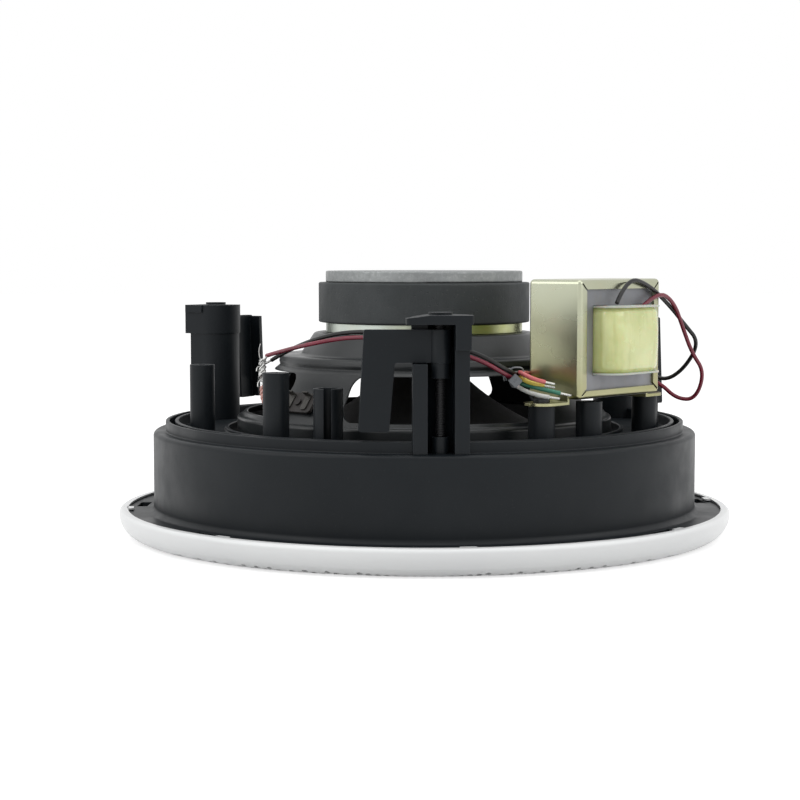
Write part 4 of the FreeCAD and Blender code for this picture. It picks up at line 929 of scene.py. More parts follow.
@dataclass(frozen=True)
class Wiring:
    """The leads between the transformer, the driver and the input block."""

    leads: tuple[Lead, ...] = (
        Lead("primary_lead_black", LEAD_BLACK, (
            (66.8, -62.6, 88.1), (71.0, -57.0, 97.0), (79.5, -46.0, 94.5), (88.6, -33.0, 87.0),
            (95.5, -25.0, 79.5), (102.0, -19.0, 72.5), (97.5, -12.0, 62.5), (91.0, -8.0, 57.5),
            (84.5, -3.5, 60.5), (82.7, -4.0, 56.5), (82.7, -4.0, 51.0)), 102.9),
        Lead("primary_lead_red", LEAD_RED, (
            (76.9, -49.0, 86.2), (83.6, -42.4, 92.0), (90.3, -34.0, 88.0), (94.6, -27.0, 78.5),
            (98.5, -23.5, 69.0), (104.0, -19.0, 61.5), (101.5, -14.0, 51.0), (94.5, -12.5, 51.2),
            (88.5, -11.2, 57.0), (82.9, -11.0, 58.5), (82.7, -11.0, 51.0)), 91.3),
        Lead("speaker_lead_red", LEAD_RED, (
            (40.9, -51.9, 60.9), (31.2, -63.6, 62.7), (31.2, -78.5, 62.2), (16.0, -83.2, 71.4),
            (-18.0, -80.4, 78.2), (-43.0, -60.0, 73.4), (-57.0, -35.0, 68.4)), 139.7),
        Lead("speaker_lead_black", LEAD_BLACK, (
            (40.9, -51.9, 62.5), (31.2, -63.6, 64.3), (31.2, -78.5, 64.0), (15.6, -82.4, 73.4),
            (-18.0, -79.2, 80.0), (-41.5, -58.0, 75.3), (-55.2, -34.6, 66.8)), 138.1),
        Lead("tap_lead_orange", LEAD_ORANGE, (
            (41.7, -53.4, 62.5), (32.9, -64.2, 64.3), (33.0, -76.6, 64.8), (37.6, -80.4, 62.6),
            (41.0, -79.2, 61.8)), 34.7, FarEnd.BARE),
        Lead("tap_lead_yellow", LEAD_YELLOW, (
            (40.3, -55.1, 60.9), (32.9, -64.2, 62.7), (33.0, -75.0, 62.7), (37.3, -77.9, 61.0),
            (40.9, -77.6, 60.4)), 30.3, FarEnd.BARE),
        Lead("tap_lead_green", LEAD_GREEN, (
            (39.3, -56.3, 59.5), (32.9, -64.2, 61.1), (33.0, -74.3, 60.9), (40.0, -79.0, 59.4),
            (46.3, -79.4, 58.0)), 33.9, FarEnd.BARE),
        Lead("tap_lead_white", LEAD_WHITE, (
            (37.8, -55.7, 59.5), (31.2, -63.6, 61.1), (31.3, -73.9, 60.2), (36.8, -80.0, 57.6),
            (42.3, -82.3, 56.9)), 34.1, FarEnd.BARE))
    pair_route: tuple[Point, ...] = (
        (-58.6, -37.3, 57.4), (-58.6, -39.3, 51.9), (-54.4, -43.9, 49.9), (-49.6, -46.0, 52.9))
    pair_radius: float = 0.5
    pair_offset: float = 0.42
    pair_pitch: float = 3.2
    splice_top: Point = (-58.6, -34.3, 66.8)
    splice_foot: Point = (-58.6, -37.2, 57.6)
    splice_strands: int = 6
    splice_spread: Pair = (0.6, 1.0)
    splice_pitch: Pair = (4.6, 0.5)
    splice_steps: int = 60
    bare_radius: float = 0.4
    uneven: Pair = (0.2, 0.7)
    strays: tuple[tuple[Point, Point, Point], ...] = (
        ((-58.6, -34.6, 65.5), (-60.6, -35.4, 69.0), (-59.2, -35.6, 72.7)),
        ((-58.8, -34.6, 66.0), (-57.2, -36.2, 67.6), (-56.0, -36.4, 69.4)),
        ((-58.6, -35.0, 64.0), (-60.8, -36.2, 65.2), (-60.6, -36.8, 62.8)),
        ((-58.4, -36.0, 61.5), (-56.6, -37.6, 61.8), (-56.8, -38.0, 59.6)),
        ((-58.6, -36.4, 60.0), (-60.6, -37.6, 59.2), (-60.0, -38.2, 57.2)))
    stray_radius: float = 0.2
    tip_length: float = 4.0
    tip_hidden: float = 0.4
    tip_strand: Point = (0.2, 2.4, 0.24)
    tie_at: Point = (32.05, -68.8, 62.7)
    tie_half: Pair = (2.2, 3.3)
    tie_width: float = 3.6
    tie_section: tuple[Pair, ...] = ((-1, 0.0), (-1, 0.22), (-0.6, 0.42), (0.6, 0.42), (1, 0.22), (1, 0.0))
    tie_steps: int = 40
    tie_tail: tuple[Point, ...] = (
        (30.2, -69.0, 65.2), (28.6, -71.0, 65.6), (27.4, -73.0, 64.0), (27.8, -74.0, 62.0))
    tail_strand: Point = (0.38, 2.6, 0.36)
    clip_at: Point = (31.0, -78.4, 62.2)
    clip_half: float = 2.5
    clip_depth: float = 3.2

    def build(self) -> None:
        """Lays every lead, then the bare ends, the splice and the tie."""
        for lead in self.leads:
            lead.build()
        for name, shape, finish, node in (
                ("driver_pair_twist", self.driver_pair, LEAD_PINK, "driver_pair"),
                ("splice_twist", self.splice, TINNED_TAG, "splice"),
                ("tap_ends", self.tips, TINNED_TAG, "tap_tips"),
                ("bundle_tie", self.tie, GREY_TIE, "lead_tie")):
            settle(finished_mesh(name, solid(shape)), finish, Body.HOUSING.value, node)

    def driver_pair(self, work: Mesh) -> None:
        """Adds the thin twisted pair from the splice to the driver's tags.

        Args:
            work: The mesh that gets it.
        """
        line = line_points(self.pair_route, 0.2)
        for phase in (0.0, math.pi):
            add_tube(work, twisted(line, self.pair_offset, self.pair_pitch, phase), self.pair_radius)

    def splice(self, work: Mesh) -> None:
        """Adds the bare ends of the speaker leads, twisted together and soldered, with stray strands.

        Args:
            work: The mesh that gets them.
        """
        top, foot = scaled((self.splice_top, self.splice_foot))
        line = [top.lerp(foot, k / self.splice_steps) for k in range(self.splice_steps + 1)]
        swell, swing = self.uneven
        pitch, longer = self.splice_pitch
        for k in range(self.splice_strands):
            radii = [self.bare_radius * (1.0 + swell * math.sin(i * swing + k)) for i in range(len(line))]
            phase = TURN * k / self.splice_strands
            add_tube(work, twisted(line, self.splice_spread[k % 2], pitch + longer * k, phase), radii, 10)
        for lead in self.leads:
            if lead.name.startswith("speaker"):
                end = Vector(lead.route[-1]) * MM
                into = [end.lerp(top.lerp(foot, 0.2), k / 8) for k in range(-1, 9)]
                add_tube(work, into, self.bare_radius, 10)
        for route in self.strays:
            add_tube(work, line_points(route, 0.4), self.stray_radius, 8)

    def tips(self, work: Mesh) -> None:
        """Adds the stripped ends of the tap leads.

        Args:
            work: The mesh that gets them.
        """
        offset, pitch, radius = self.tip_strand
        for lead in self.leads:
            if lead.far_end is not FarEnd.BARE:
                continue
            last, end = scaled(lead.route[-2:])
            ahead = (end - last).normalized() * MM
            line = [end + ahead * (self.tip_length * k / 24 - self.tip_hidden) for k in range(25)]
            for k in range(3):
                add_tube(work, twisted(line, offset, pitch, TURN * k / 3), radius, 8)

    def tie(self, work: Mesh) -> None:
        """Adds the tie round the bundle, its twisted tail and its clip.

        Args:
            work: The mesh that gets them.
        """
        half_x, half_z = self.tie_half
        rings = []
        for k in range(self.tie_steps + 1):
            angle = TURN * k / self.tie_steps
            flat = 1.0 / (abs(math.cos(angle)) ** 4 + abs(math.sin(angle)) ** 4) ** 0.25
            out = Vector((math.cos(angle), 0, math.sin(angle)))
            here = Vector(self.tie_at) + Vector((out.x * half_x * flat, 0, out.z * half_z * flat))
            rings.append([
                (here + Vector((0, side * self.tie_width / 2, 0)) + out * depth) * MM
                for side, depth in self.tie_section])
        add_loft(work, rings, caps=False)
        offset, pitch, radius = self.tail_strand
        for phase in (0.0, math.pi):
            add_tube(work, twisted(line_points(self.tie_tail, 0.2), offset, pitch, phase), radius, 8)
        half = self.clip_half
        x, y, z = self.clip_at
        clip = rounded_line([(0, -half, 0.5), (half, 0, 0.5), (0, half, 0.5), (-half, 0, 0.5)])
        add_wall(work, [(x + a, z + b) for a, b in clip], y - self.clip_depth / 2, y + self.clip_depth / 2,
                 set_at(DRUM_AXIS, 0.0))


@dataclass(frozen=True)
class GrillePan:
    """The perforated steel grille: a flat field of staggered holes, a rolled rim and its bent tabs."""

    radius: float = 115.5
    sheet: float = 0.7
    bend: float = 8.5
    rim_top: float = 10.2
    hem_r: float = 112.2
    hem_bend: float = 1.5
    field: float = 113.6
    field_edge: float = 0.4
    pitch: float = 3.0
    hole: float = 1.08
    border: int = 288
    tab_count: int = 8
    tab_start: float = 232.5
    tab_rows: tuple[Point, ...] = (
        (3.0, 0.0, 3.0), (3.6, 0.0, 3.0), (4.4, 0.0, 2.9), (5.1, 0.0, 2.6), (5.5, 0.05, 2.1))

    def on_face(self, x: float, y: float) -> Vector:
        """A plan point on the pan's face, which rises where the bend begins, in metres."""
        past = max(0.0, math.hypot(x, y) - (self.radius - self.bend))
        return Vector((x, y, self.bend - math.sqrt(self.bend ** 2 - past ** 2))) * MM

    def field_mesh(self, work: Mesh) -> None:
        """Adds the perforated field, one six-sided cell to a hole.

        Args:
            work: The mesh that gets it, 0 being the face's height.
        """
        cell = self.pitch / math.sqrt(3)
        corners: dict[tuple[int, int], bmesh.types.BMVert] = {}

        def corner(x: float, y: float) -> bmesh.types.BMVert:
            """The shared corner point of neighbouring cells.

            Args:
                x: Its place along X, in millimetres.
                y: Its place along Y.

            Returns:
                The corner, made when it is first asked for.
            """
            key = (round(x * 1000), round(y * 1000))
            if key not in corners:
                corners[key] = work.verts.new(self.on_face(x, y))
            return corners[key]

        row_step = self.pitch * math.sin(math.radians(60))
        rows = int(self.field / row_step) + 1
        columns = int(self.field / self.pitch) + 1
        for row in range(-rows, rows + 1):
            for column in range(-columns, columns + 1):
                x, y = (column + (row % 2) / 2) * self.pitch, row * row_step
                if math.hypot(x, y) + cell > self.field - self.field_edge:
                    continue
                around = [[(x + a, y + b) for a, b in (polar(radius, 60 * k + 30) for k in range(6))]
                          for radius in (cell, self.hole)]
                outer = [corner(*point) for point in around[0]]
                inner = [work.verts.new(self.on_face(*point)) for point in around[1]]
                for k in range(6):
                    j = (k + 1) % 6
                    work.faces.new((outer[k], outer[j], inner[j], inner[k]))
        shared = set(corners.values())
        edge = [line for line in work.edges if len(line.link_faces) == 1 and shared.issuperset(line.verts)]
        ring = [work.verts.new(self.on_face(*point)) for point in circle(self.field, self.border)]
        loop = [work.edges.new((ring[k], ring[(k + 1) % self.border])) for k in range(self.border)]
        bmesh.ops.triangle_fill(work, edges=edge + loop, use_beauty=True, use_dissolve=False)

    def rim_profile(self) -> Profile:
        """The rim's closed outline, from the field's edge round the bend and up.

        Returns:
            Points of (radius, height).
        """
        centre_r = self.radius - self.bend
        first = math.degrees(math.acos((self.field - centre_r) / self.bend))
        sides = []
        for inset in (0.0, self.sheet):
            line = [(centre_r + r, self.bend + z) for r, z in arc(self.bend - inset, -first, 0, 12)]
            line += [(self.radius - self.hem_bend + r, self.rim_top - self.hem_bend + z)
                     for r, z in arc(self.hem_bend - inset, 0, 90, CORNER_STEPS)]
            sides.append(line + [(self.hem_r, line[-1][1])])
        return sides[0] + sides[1][::-1]

    def tabs(self, work: Mesh) -> None:
        """Adds the tabs that are folded over the flange.

        Args:
            work: The mesh that gets them.
        """
        low = self.rim_top - self.sheet
        for k in range(self.tab_count):
            place = set_at(DRUM_AXIS, self.tab_start + k * 360 / self.tab_count)
            add_loft(work, [[place(self.radius - reach, side, z) for side, z in (
                (-half, low), (half, low), (half, self.rim_top - drop), (-half, self.rim_top - drop))]
                for reach, drop, half in self.tab_rows])

    def build(self) -> None:
        """Builds the pan and dresses it."""
        field = finished_mesh("grille_field", solid(self.field_mesh), 0.0)
        thick = field.modifiers.new("sheet", "SOLIDIFY")
        thick.thickness = self.sheet * MM
        thick.offset = 1.0 if sum(face.normal.z for face in field.data.polygons) > 0 else -1.0
        work = applied(field)
        bpy.data.objects.remove(field)
        add_turned(work, self.rim_profile(), self.border)
        self.tabs(work)
        piece = finished_mesh("grille_pan", work, 0.0)
        settle(piece, WHITE_ENAMEL, Body.HOUSING.value, "grille", "grille_rim")


@dataclass(frozen=True)
class FlexRing:
    """A ring that is held at one radius and moves with the cone at the other, made in sectors."""

    name: str
    node: str
    finish: Finish
    held_r: float
    moving_r: float
    sheet: float
    level: float
    sectors: int = 12
    steps: int = 12

    def line(self) -> Profile:
        """The upper side, from the held edge to the moving one, which each kind of ring draws."""
        raise NotImplementedError

    def build(self) -> None:
        """Builds each sector, dresses it and bakes its place into its mesh."""
        top = self.line()
        profile = top + [(r, z - self.sheet) for r, z in reversed(top)]
        width = 360.0 / self.sectors
        for k in range(self.sectors):
            ring = solid(add_turned, profile, self.steps, k * width, width)
            piece = finished_mesh(f"{self.name}_{k + 1:02d}", ring)
            dress(piece, self.finish)
            middle = (k + 0.5) * width
            end = Vector((*polar(self.moving_r, middle), 0.0)) * MM
            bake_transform(piece)
            if k == 0:
                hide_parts(self.node)
        LOG.info("%s built in %d sectors", self.name, self.sectors)


@dataclass(frozen=True)
class Surround(FlexRing):
    """The rubber half roll, from the gasket's edge to the lip on the cone."""

    name: str = "roll"
    node: str = "surround"
    finish: Finish = ROLL_RUBBER
    held_r: float = 70.6
    moving_r: float = 62.5
    sheet: float = 0.7
    level: float = 35.1
    gasket_r: float = 76.6
    roll_at: float = 66.5
    roll_half: Pair = (4.1, 4.0)
    lip: tuple[Pair, ...] = ((62.4, 33.70), (61.0, 33.68), (59.0, 34.42))

    def line(self) -> Profile:
        """The flat edge, the half roll that sinks a little inward, and the lip.

        Returns:
            Points of (radius, height).
        """
        line = [(self.gasket_r, self.level), (self.held_r, self.level)]
        for k in range(1, 12):
            wide, deep = polar(1.0, 15 * k)
            level = self.level + (self.lip[0][1] - self.level) * k / 12
            line.append((self.roll_at + self.roll_half[0] * wide, level - self.roll_half[1] * deep))
        return line + list(self.lip)


@dataclass(frozen=True)
class Spider(FlexRing):
    """The corrugated cloth ring, from its glued foot to the former."""

    name: str = "spider_part"
    node: str = "spider"
    finish: Finish = SPIDER_CLOTH
    held_r: float = 47.0
    moving_r: float = 13.4
    sheet: float = 0.5
    level: float = 66.5
    foot: Pair = (53.0, 48.0)
    former_r: float = 13.3
    wave: float = 0.8
    waves: int = 5
    points: int = 60

    def line(self) -> Profile:
        """The flat foot and the waves.

        Returns:
            Points of (radius, height).
        """
        start = self.foot[1]
        line = [(self.foot[0], self.level), (start, self.level)]
        for k in range(1, self.points):
            share = k / self.points
            drop = self.wave * math.sin(TURN * self.waves * share)
            line.append((start + (self.former_r - start) * share, self.level - drop))
        return line + [(self.former_r, self.level)]


@dataclass(frozen=True)
class Transformer:
    """The line transformer: stacked sheets, taped winding, moulded bobbin and bent bracket."""

    centre: Pair = (60.6, -49.7)
    turn: float = 50.4
    length: float = 48.0
    bottom: float = 55.4
    top: float = 95.4
    stack: float = 20.0
    leg: float = 8.0
    window: Pair = (63.4, 87.4)
    sheet: float = 0.5
    sheet_gap: float = 0.04
    sheet_uneven: float = 0.09
    seed: int = 11
    coil_half: Pair = (15.4, 18.9)
    coil_levels: Pair = (64.15, 86.65)
    coil_corner: float = 6.2
    coil_steps: int = 24
    coil_shoulder: float = 0.9
    coil_belly: float = 0.35
    coil_inset: float = 0.2
    tape_step: Point = (0.3, 0.72, 0.12)
    cheek_half: Pair = (15.7, 19.6)
    cheek_corner: float = 6.6
    cheek_room: float = 0.15
    tube_half: Pair = (9.05, 11.05)
    tube_room: Pair = (8.15, 10.15)
    tube_corners: Pair = (0.4, 0.3)
    steel: float = 1.0
    bend: float = 1.6
    side_lip: float = 4.0
    top_lip: float = 3.4
    foot_lip: float = 2.9
    mitre: float = 0.7
    mitre_reach: float = 6.0
    mitre_inset: float = 1.3
    underlap: float = 0.02
    foot_under: float = 53.5
    foot_spacing: float = 64.0
    foot_width: float = 12.0
    foot_corner: float = 5.4
    leg_rise: float = 1.5
    foot_bore: float = 1.8
    bore_steps: int = 32

    def placed(self, x: float, y: float, z: float) -> Vector:
        """A point drawn about the core's middle, its length along X, in the frame's metres."""
        return set_at(self.centre, self.turn)(x, y, z)

    def laminations(self, work: Mesh) -> None:
        """Adds the stack of core sheets, each a hair larger or smaller than the next.

        Args:
            work: The mesh that gets them.
        """
        chance = random.Random(self.seed)
        half = self.length / 2
        columns = [-half, -2 * self.leg, -self.leg, self.leg, 2 * self.leg, half]
        rows = [self.bottom, *self.window, self.top]
        filled = {(i, j) for i in range(5) for j in range(3)} - {(1, 1), (3, 1)}
        for n in range(int(self.stack / self.sheet)):
            near = -self.stack / 2 + n * self.sheet
            faces = (near + self.sheet_gap / 2, near + self.sheet - self.sheet_gap / 2)
            shrink = chance.uniform(0.0, self.sheet_uneven)
            points = {}
            for i, x in enumerate(columns):
                for j, z in enumerate(rows):
                    px = x - math.copysign(shrink, x) if i in (0, 5) else x
                    pz = z + (shrink if j == 0 else -shrink if j == 3 else 0.0)
                    for side, y in enumerate(faces):
                        points[i, j, side] = work.verts.new(self.placed(px, y, pz))
            for i, j in filled:
                ring = [(i, j), (i + 1, j), (i + 1, j + 1), (i, j + 1)]
                for side in (0, 1):
                    work.faces.new([points[a, b, side] for a, b in ring])
                for m, beyond in enumerate(((i, j - 1), (i + 1, j), (i, j + 1), (i - 1, j))):
                    if beyond not in filled:
                        a, b = ring[m], ring[(m + 1) % 4]
                        work.faces.new((points[(*a, 0)], points[(*b, 0)], points[(*b, 1)], points[(*a, 1)]))

    def rounded_ring(self, half_x: float, half_y: float, corner: float, z: float) -> list[Vector]:
        """Points round a rounded rectangle.

        Args:
            half_x: Half its length.
            half_y: Half its width.
            corner: The corners' radius.
            z: Its height.

        Returns:
            The points, in metres.
        """
        ring = []
        for sx, sy, first in ((1, 1, 0), (-1, 1, 90), (-1, -1, 180), (1, -1, 270)):
            ring += [self.placed(sx * (half_x - corner) + x, sy * (half_y - corner) + y, z)
                     for x, y in arc(corner, first, first + 90, 12)]
        return ring

    def add_sleeve(self, work: Mesh, outer: list[list[Vector]], room: Pair, corner: float,
                   levels: Pair) -> None:
        """Adds a skin over outer rings that returns down the straight inside of a rounded room.

        Args:
            work: The mesh that gets it.
            outer: The outer rings, from below.
            room: Half the room's length and width.
            corner: The room's corner radius.
            levels: The room's lower and upper height.
        """
        inner = [self.rounded_ring(*room, corner, z) for z in levels[::-1]]
        add_loft(work, outer + inner + [outer[0]], caps=False)

    def winding(self, work: Mesh) -> None:
        """Adds the coil under its tape: soft shoulders, a slight belly and the tape's overlapping edges.

        Args:
            work: The mesh that gets it.
        """
        low, high = self.coil_levels
        half_x, half_y = self.coil_half
        first, last, step = self.tape_step
        outer = []
        for k in range(self.coil_steps + 1):
            share = k / self.coil_steps
            shoulder = max(0.0, 1 - share * 10) ** 2 + max(0.0, 1 - (1 - share) * 10) ** 2
            out = (self.coil_belly * math.sin(math.pi * share) + (step if first < share < last else 0.0)
                   - self.coil_shoulder * shoulder - self.coil_inset)
            outer.append(self.rounded_ring(half_x + min(out, 0.0), half_y + out, self.coil_corner,
                                           low + (high - low) * share))
        self.add_sleeve(work, outer, self.tube_half, self.tube_corners[0], self.coil_levels)

    def bobbin(self, work: Mesh) -> None:
        """Adds the moulded bobbin: thin cheeks above and below the coil, and the tube between them.

        Args:
            work: The mesh that gets it.
        """
        low, high = self.coil_levels
        cheek = low - self.window[0] - self.cheek_room
        for levels, half, corner in (
                ((low - cheek, low), self.cheek_half, self.cheek_corner),
                ((high, high + cheek), self.cheek_half, self.cheek_corner),
                ((low, high), self.tube_half, self.tube_corners[0])):
            outer = [self.rounded_ring(*half, corner, z) for z in levels]
            self.add_sleeve(work, outer, self.tube_room, self.tube_corners[1], levels)

    def band_section(self) -> list[Point]:
        """The bent band's section: how far in it lies, its place across, and its share of the lip.

        Returns:
            Closed points of (inset, across, share of the lip's reach).
        """
        half = self.stack / 2 + self.steel
        section = []
        for side in (-1, 1):
            outer, inner = (
                [(self.bend - up, side * (half - self.bend + along), 0.0)
                 for along, up in arc(radius, 0, 90, CORNER_STEPS)]
                for radius in (self.bend, self.bend - self.steel))
            lip = [(0.0, side * (half - self.steel), 1.0), (0.0, side * half, 1.0)]
            section += (inner[::-1] + lip + outer) if side < 0 else (outer[::-1] + lip[::-1] + inner)
        return section

    def band(self, work: Mesh) -> None:
        """Adds the band bent round the core, with lips over both faces.

        Args:
            work: The mesh that gets it.
        """
        half_x = self.length / 2 + self.steel
        under, over = self.bottom - self.underlap, self.top + self.steel
        rings = []
        for sx, sz, level, lip, first in (
                (1, -1, under, self.foot_lip, -90), (1, 1, over, self.top_lip, 0),
                (-1, 1, over, self.top_lip, 90), (-1, -1, under, self.foot_lip, 180)):
            for along, up in arc(1.0, first, first + 90, CORNER_STEPS):
                ring = []
                for inset, across, share in self.band_section():
                    x, z = sx * (half_x - self.side_lip), level - sz * lip
                    if not share:
                        reach = self.bend - inset
                        x, z = sx * (half_x - self.bend) + reach * along, level - sz * self.bend + reach * up
                    ring.append(self.placed(x, across, z))
                rings.append(ring)
        add_loft(work, rings + [rings[0]], caps=False)

    def slits(self, work: Mesh) -> None:
        """Adds the thin plates that cut the mitres at the lips' corners.

        Args:
            work: The mesh that gets them.
        """
        inset = self.steel * self.mitre_inset
        for sx in (-1, 1):
            for level, sz, lip in (
                    (self.top + self.steel, 1, self.top_lip), (self.bottom, -1, self.foot_lip)):
                turn = math.atan2(sz * lip, sx * self.side_lip)
                out = Vector((sx * (self.length / 2 + self.steel - inset), level - sz * inset))
                inward = Vector((-math.cos(turn), -math.sin(turn))) * self.mitre_reach
                side = Vector((-math.sin(turn), math.cos(turn))) * (self.mitre / 2)
                corners = (out + side, out + side + inward, out - side + inward, out - side)
                add_wall(work, [tuple(point) for point in corners], -self.stack, self.stack, self.placed)

    def bracket(self) -> None:
        """Builds the bracket: the band with mitred lips, and a foot at each end with its bore."""
        half_x = self.length / 2 + self.steel
        half = self.foot_width / 2
        under = self.foot_under
        legs, feet, bores = bmesh.new(), bmesh.new(), bmesh.new()
        for side in (-1, 1):
            inner, middle = side * (half_x - self.steel), side * self.foot_spacing / 2
            outer = middle + side * half
            low_x, high_x = sorted((inner, side * half_x))
            corners = [(outer, y, self.foot_corner) for y in (-half, half)]
            plan = rounded_line([(inner, -half), *corners, (inner, half)])
            bore = [(middle + x, y) for x, y in circle(self.foot_bore, self.bore_steps)]
            add_box(legs, (low_x, -half, under + self.steel / 2), (high_x, half, self.bottom + self.leg_rise),
                    self.placed)
            add_prism(feet, plan, under, under + self.steel, self.placed)
            add_prism(bores, bore, under - PAST, under + self.steel + 2 * PAST, self.placed)
        piece = carved("bent_bracket", solid(self.band), [
            ("DIFFERENCE", solid(self.slits)), ("UNION", legs), ("UNION", feet), ("DIFFERENCE", bores)])
        settle(piece, YELLOW_ZINC, Body.HOUSING.value, "bracket")

    def build(self) -> None:
        """Builds the transformer's own pieces."""
        for name, shape, merge, finish, node in (
                ("core_sheets", self.laminations, 0.0, CORE_STEEL, "laminations"),
                ("taped_winding", self.winding, 1e-7, YELLOW_TAPE, "winding"),
                ("moulded_bobbin", self.bobbin, 0.0, WHITE_BOBBIN, "bobbin")):
            settle(finished_mesh(name, solid(shape), merge), finish, Body.HOUSING.value, node)
        self.bracket()


@dataclass(frozen=True)
class ClampSet:
    """Where the three clamps stand."""

    start: float = 273.3
    count: int = 3
    axis_r: float = 94.0

    def angles(self) -> list[float]:
        """Each clamp's angle in degrees."""
        return [self.start - k * 360 / self.count for k in range(self.count)]

    def place(self, angle: float) -> Place:
        """The function that moves what is drawn about a clamp's axis, outward along -Y, to its place."""
        return set_at(polar(self.axis_r, angle), angle - 270)


@dataclass(frozen=True)
class HousingShell:
    """The moulded housing: ceiling flange, drum, and ribbed baffle round the driver's well."""

    drum_r: float = 102.5
    wall: float = 2.5
    flange_r: float = 114.6
    flange: Pair = (6.8, 9.2)
    baffle: Pair = (36.1, 39.1)
    well_r: float = 74.2
    rib_top: float = 43.0
    rib_wall: float = 1.5
    rib_foot: float = 0.4
    rib_radii: Pair = (97.9, 94.4)
    lip: float = 1.2
    slot_r: float = 107.5
    slot: Pair = (4.0, 12.0)
    slot_step: float = 47.0
    slot_places: tuple[int, ...] = (-3, -2, -1, 1, 2, 3)
    foot_low: Pair = (-9.3, -4.6)
    foot_high: Pair = (9.3, 9.2)
    screw_bore: float = 1.95
    driver_bore: float = 1.5
    driver_depth: float = 2.2
    driver_circle_r: float = 79.6
    driver_start: float = 51.0
    steps: int = 288
    clamps: ClampSet = ClampSet()

    def profile(self) -> Profile:
        """The closed outline that is turned about the driver's axis.

        Returns:
            Points of (radius, height).
        """
        front, back = self.baffle
        under, over = self.flange
        inside = self.drum_r - self.wall
        edge = self.rib_wall / 4
        points: list[tuple[float, ...]] = [
            (self.well_r, front), (inside, front, 1.0), (inside, under), (self.flange_r, under),
            (self.flange_r, over, 0.8), (self.drum_r, over, 2.2), (self.drum_r, back, 1.6)]
        for rib in self.rib_radii:
            inner = rib - self.rib_wall
            points += [(rib, back, self.rib_foot), (rib, self.rib_top, edge), (inner, self.rib_top, edge),
                       (inner, back, self.rib_foot)]
        lip_r, lip_top = self.well_r + self.rib_wall, back + self.lip
        points += [(lip_r, back, self.rib_foot), (lip_r, lip_top, edge), (self.well_r, lip_top, edge)]
        return rounded_line(points)

    def build(self) -> None:
        """Turns the shell and cuts its slots, bores and the room of the towers' feet."""
        front, back = self.baffle
        width, length = self.slot
        openings, bores = bmesh.new(), bmesh.new()
        for k in self.slot_places:
            add_box(openings, (self.slot_r - width / 2, -length / 2, 0.0),
                    (self.slot_r + width / 2, length / 2, self.flange[1] + PAST),
                    set_at(DRUM_AXIS, self.clamps.start + k * self.slot_step))
        for angle in self.clamps.angles():
            place = self.clamps.place(angle)
            add_box(openings, (*self.foot_low, back), (*self.foot_high, self.rib_top + PAST), place)
            add_prism(bores, circle(self.screw_bore), front - PAST, back + PAST, place)
        for k in range(4):
            centre = polar(self.driver_circle_r, self.driver_start + 90 * k)
            add_prism(bores, circle(self.driver_bore), front - PAST, front + self.driver_depth,
                      set_at(centre, 0.0))
        piece = carved("housing_moulding", solid(add_turned, self.profile(), self.steps),
                       [("DIFFERENCE", openings), ("DIFFERENCE", bores)])
        settle(piece, BLACK_MOULDING, Body.HOUSING.value, "housing", "flange", "baffle")


@dataclass(frozen=True)
class Tower:
    """One clamp tower: a round-backed channel about the screw, a cut-down left wall, a hood and a roof."""

    number: int
    place: Place
    foot: float = 39.1
    channel_r: float = 4.55
    back_r: float = 9.4
    hood_r: float = 9.8
    face: float = 6.0
    hood_face: float = 8.2
    gap: float = 2.2
    left_top: float = 68.9
    hood_step: float = 73.6
    roof: Pair = (82.0, 85.0)
    slope: float = 1.1
    roof_sides: Pair = (-11.6, 10.6)
    pad: Pair = (4.0, 0.9)
    boss: Pair = (3.0, 44.6)
    bore: float = 1.95

    def plan(self, back_r: float, face: float, open_left: bool) -> Profile:
        """The walls' plan, whole, or with the left side cut away for the dog.

        Args:
            back_r: The round back's radius.
            face: How far the front lies from the axis.
            open_left: Whether the left side is cut away.

        Returns:
            The closed outline.
        """
        right = [(back_r, 0.0), (back_r, -face), (self.channel_r, -face)]
        if open_left:
            inner = 180 - math.degrees(math.asin(self.gap / self.channel_r))
            outer = 180 - math.degrees(math.asin(self.gap / back_r))
            return right + arc(self.channel_r, 0, inner) + arc(back_r, outer, 0)[:-1]
        left = [(-self.channel_r, -face), (-back_r, -face)]
        return right + arc(self.channel_r, 0, 180) + left + arc(back_r, 180, 0)[:-1]

    def build(self) -> None:
        """Builds the tower from its walls, hood, sloped roof, pad and boss, and bores it."""
        left, right = self.roof_sides
        low, top = self.roof
        pad_r, pad_height = self.pad
        boss_r, boss_top = self.boss
        front = -self.hood_face
        roof = rounded_line([(right, 0.0), (right, front, 1.0), (left, front, 1.0), (left, 0.0)])
        beyond = left - PAST
        fall = [(-pad_r, top), (beyond, top - self.slope), (beyond, top + PAST), (-pad_r, top + PAST)]
        bores = solid(add_prism, circle(self.bore), self.foot - PAST, boss_top + PAST, self.place)
        add_prism(bores, circle(self.bore), low - PAST, top, self.place)

        def block(plan: Profile, bottom: float, height: float) -> Mesh:
            """A prism at the tower's place."""
            return solid(add_prism, plan, bottom, height, self.place)

        walls = block(self.plan(self.back_r, self.face, False), self.foot, self.left_top)
        neck = block(self.plan(self.back_r, self.face, True), self.left_top - OVERLAP, self.hood_step)
        hood = block(self.plan(self.hood_r, self.hood_face, True), self.hood_step, low + OVERLAP)
        piece = carved(f"clamp_tower_{self.number}", walls, [
            ("UNION", neck),
            ("UNION", hood),
            ("UNION", block(roof + arc(self.hood_r, 180, 0), low, top)),
            ("DIFFERENCE", solid(add_wall, fall, front - PAST, self.hood_r + PAST, self.place)),
            ("UNION", block(circle(pad_r), top - OVERLAP, top + pad_height)),
            ("UNION", block(circle(boss_r), self.foot, boss_top)),
            ("DIFFERENCE", bores)])
        settle(piece, BLACK_MOULDING, Body.HOUSING.value, f"tower_{self.number}")


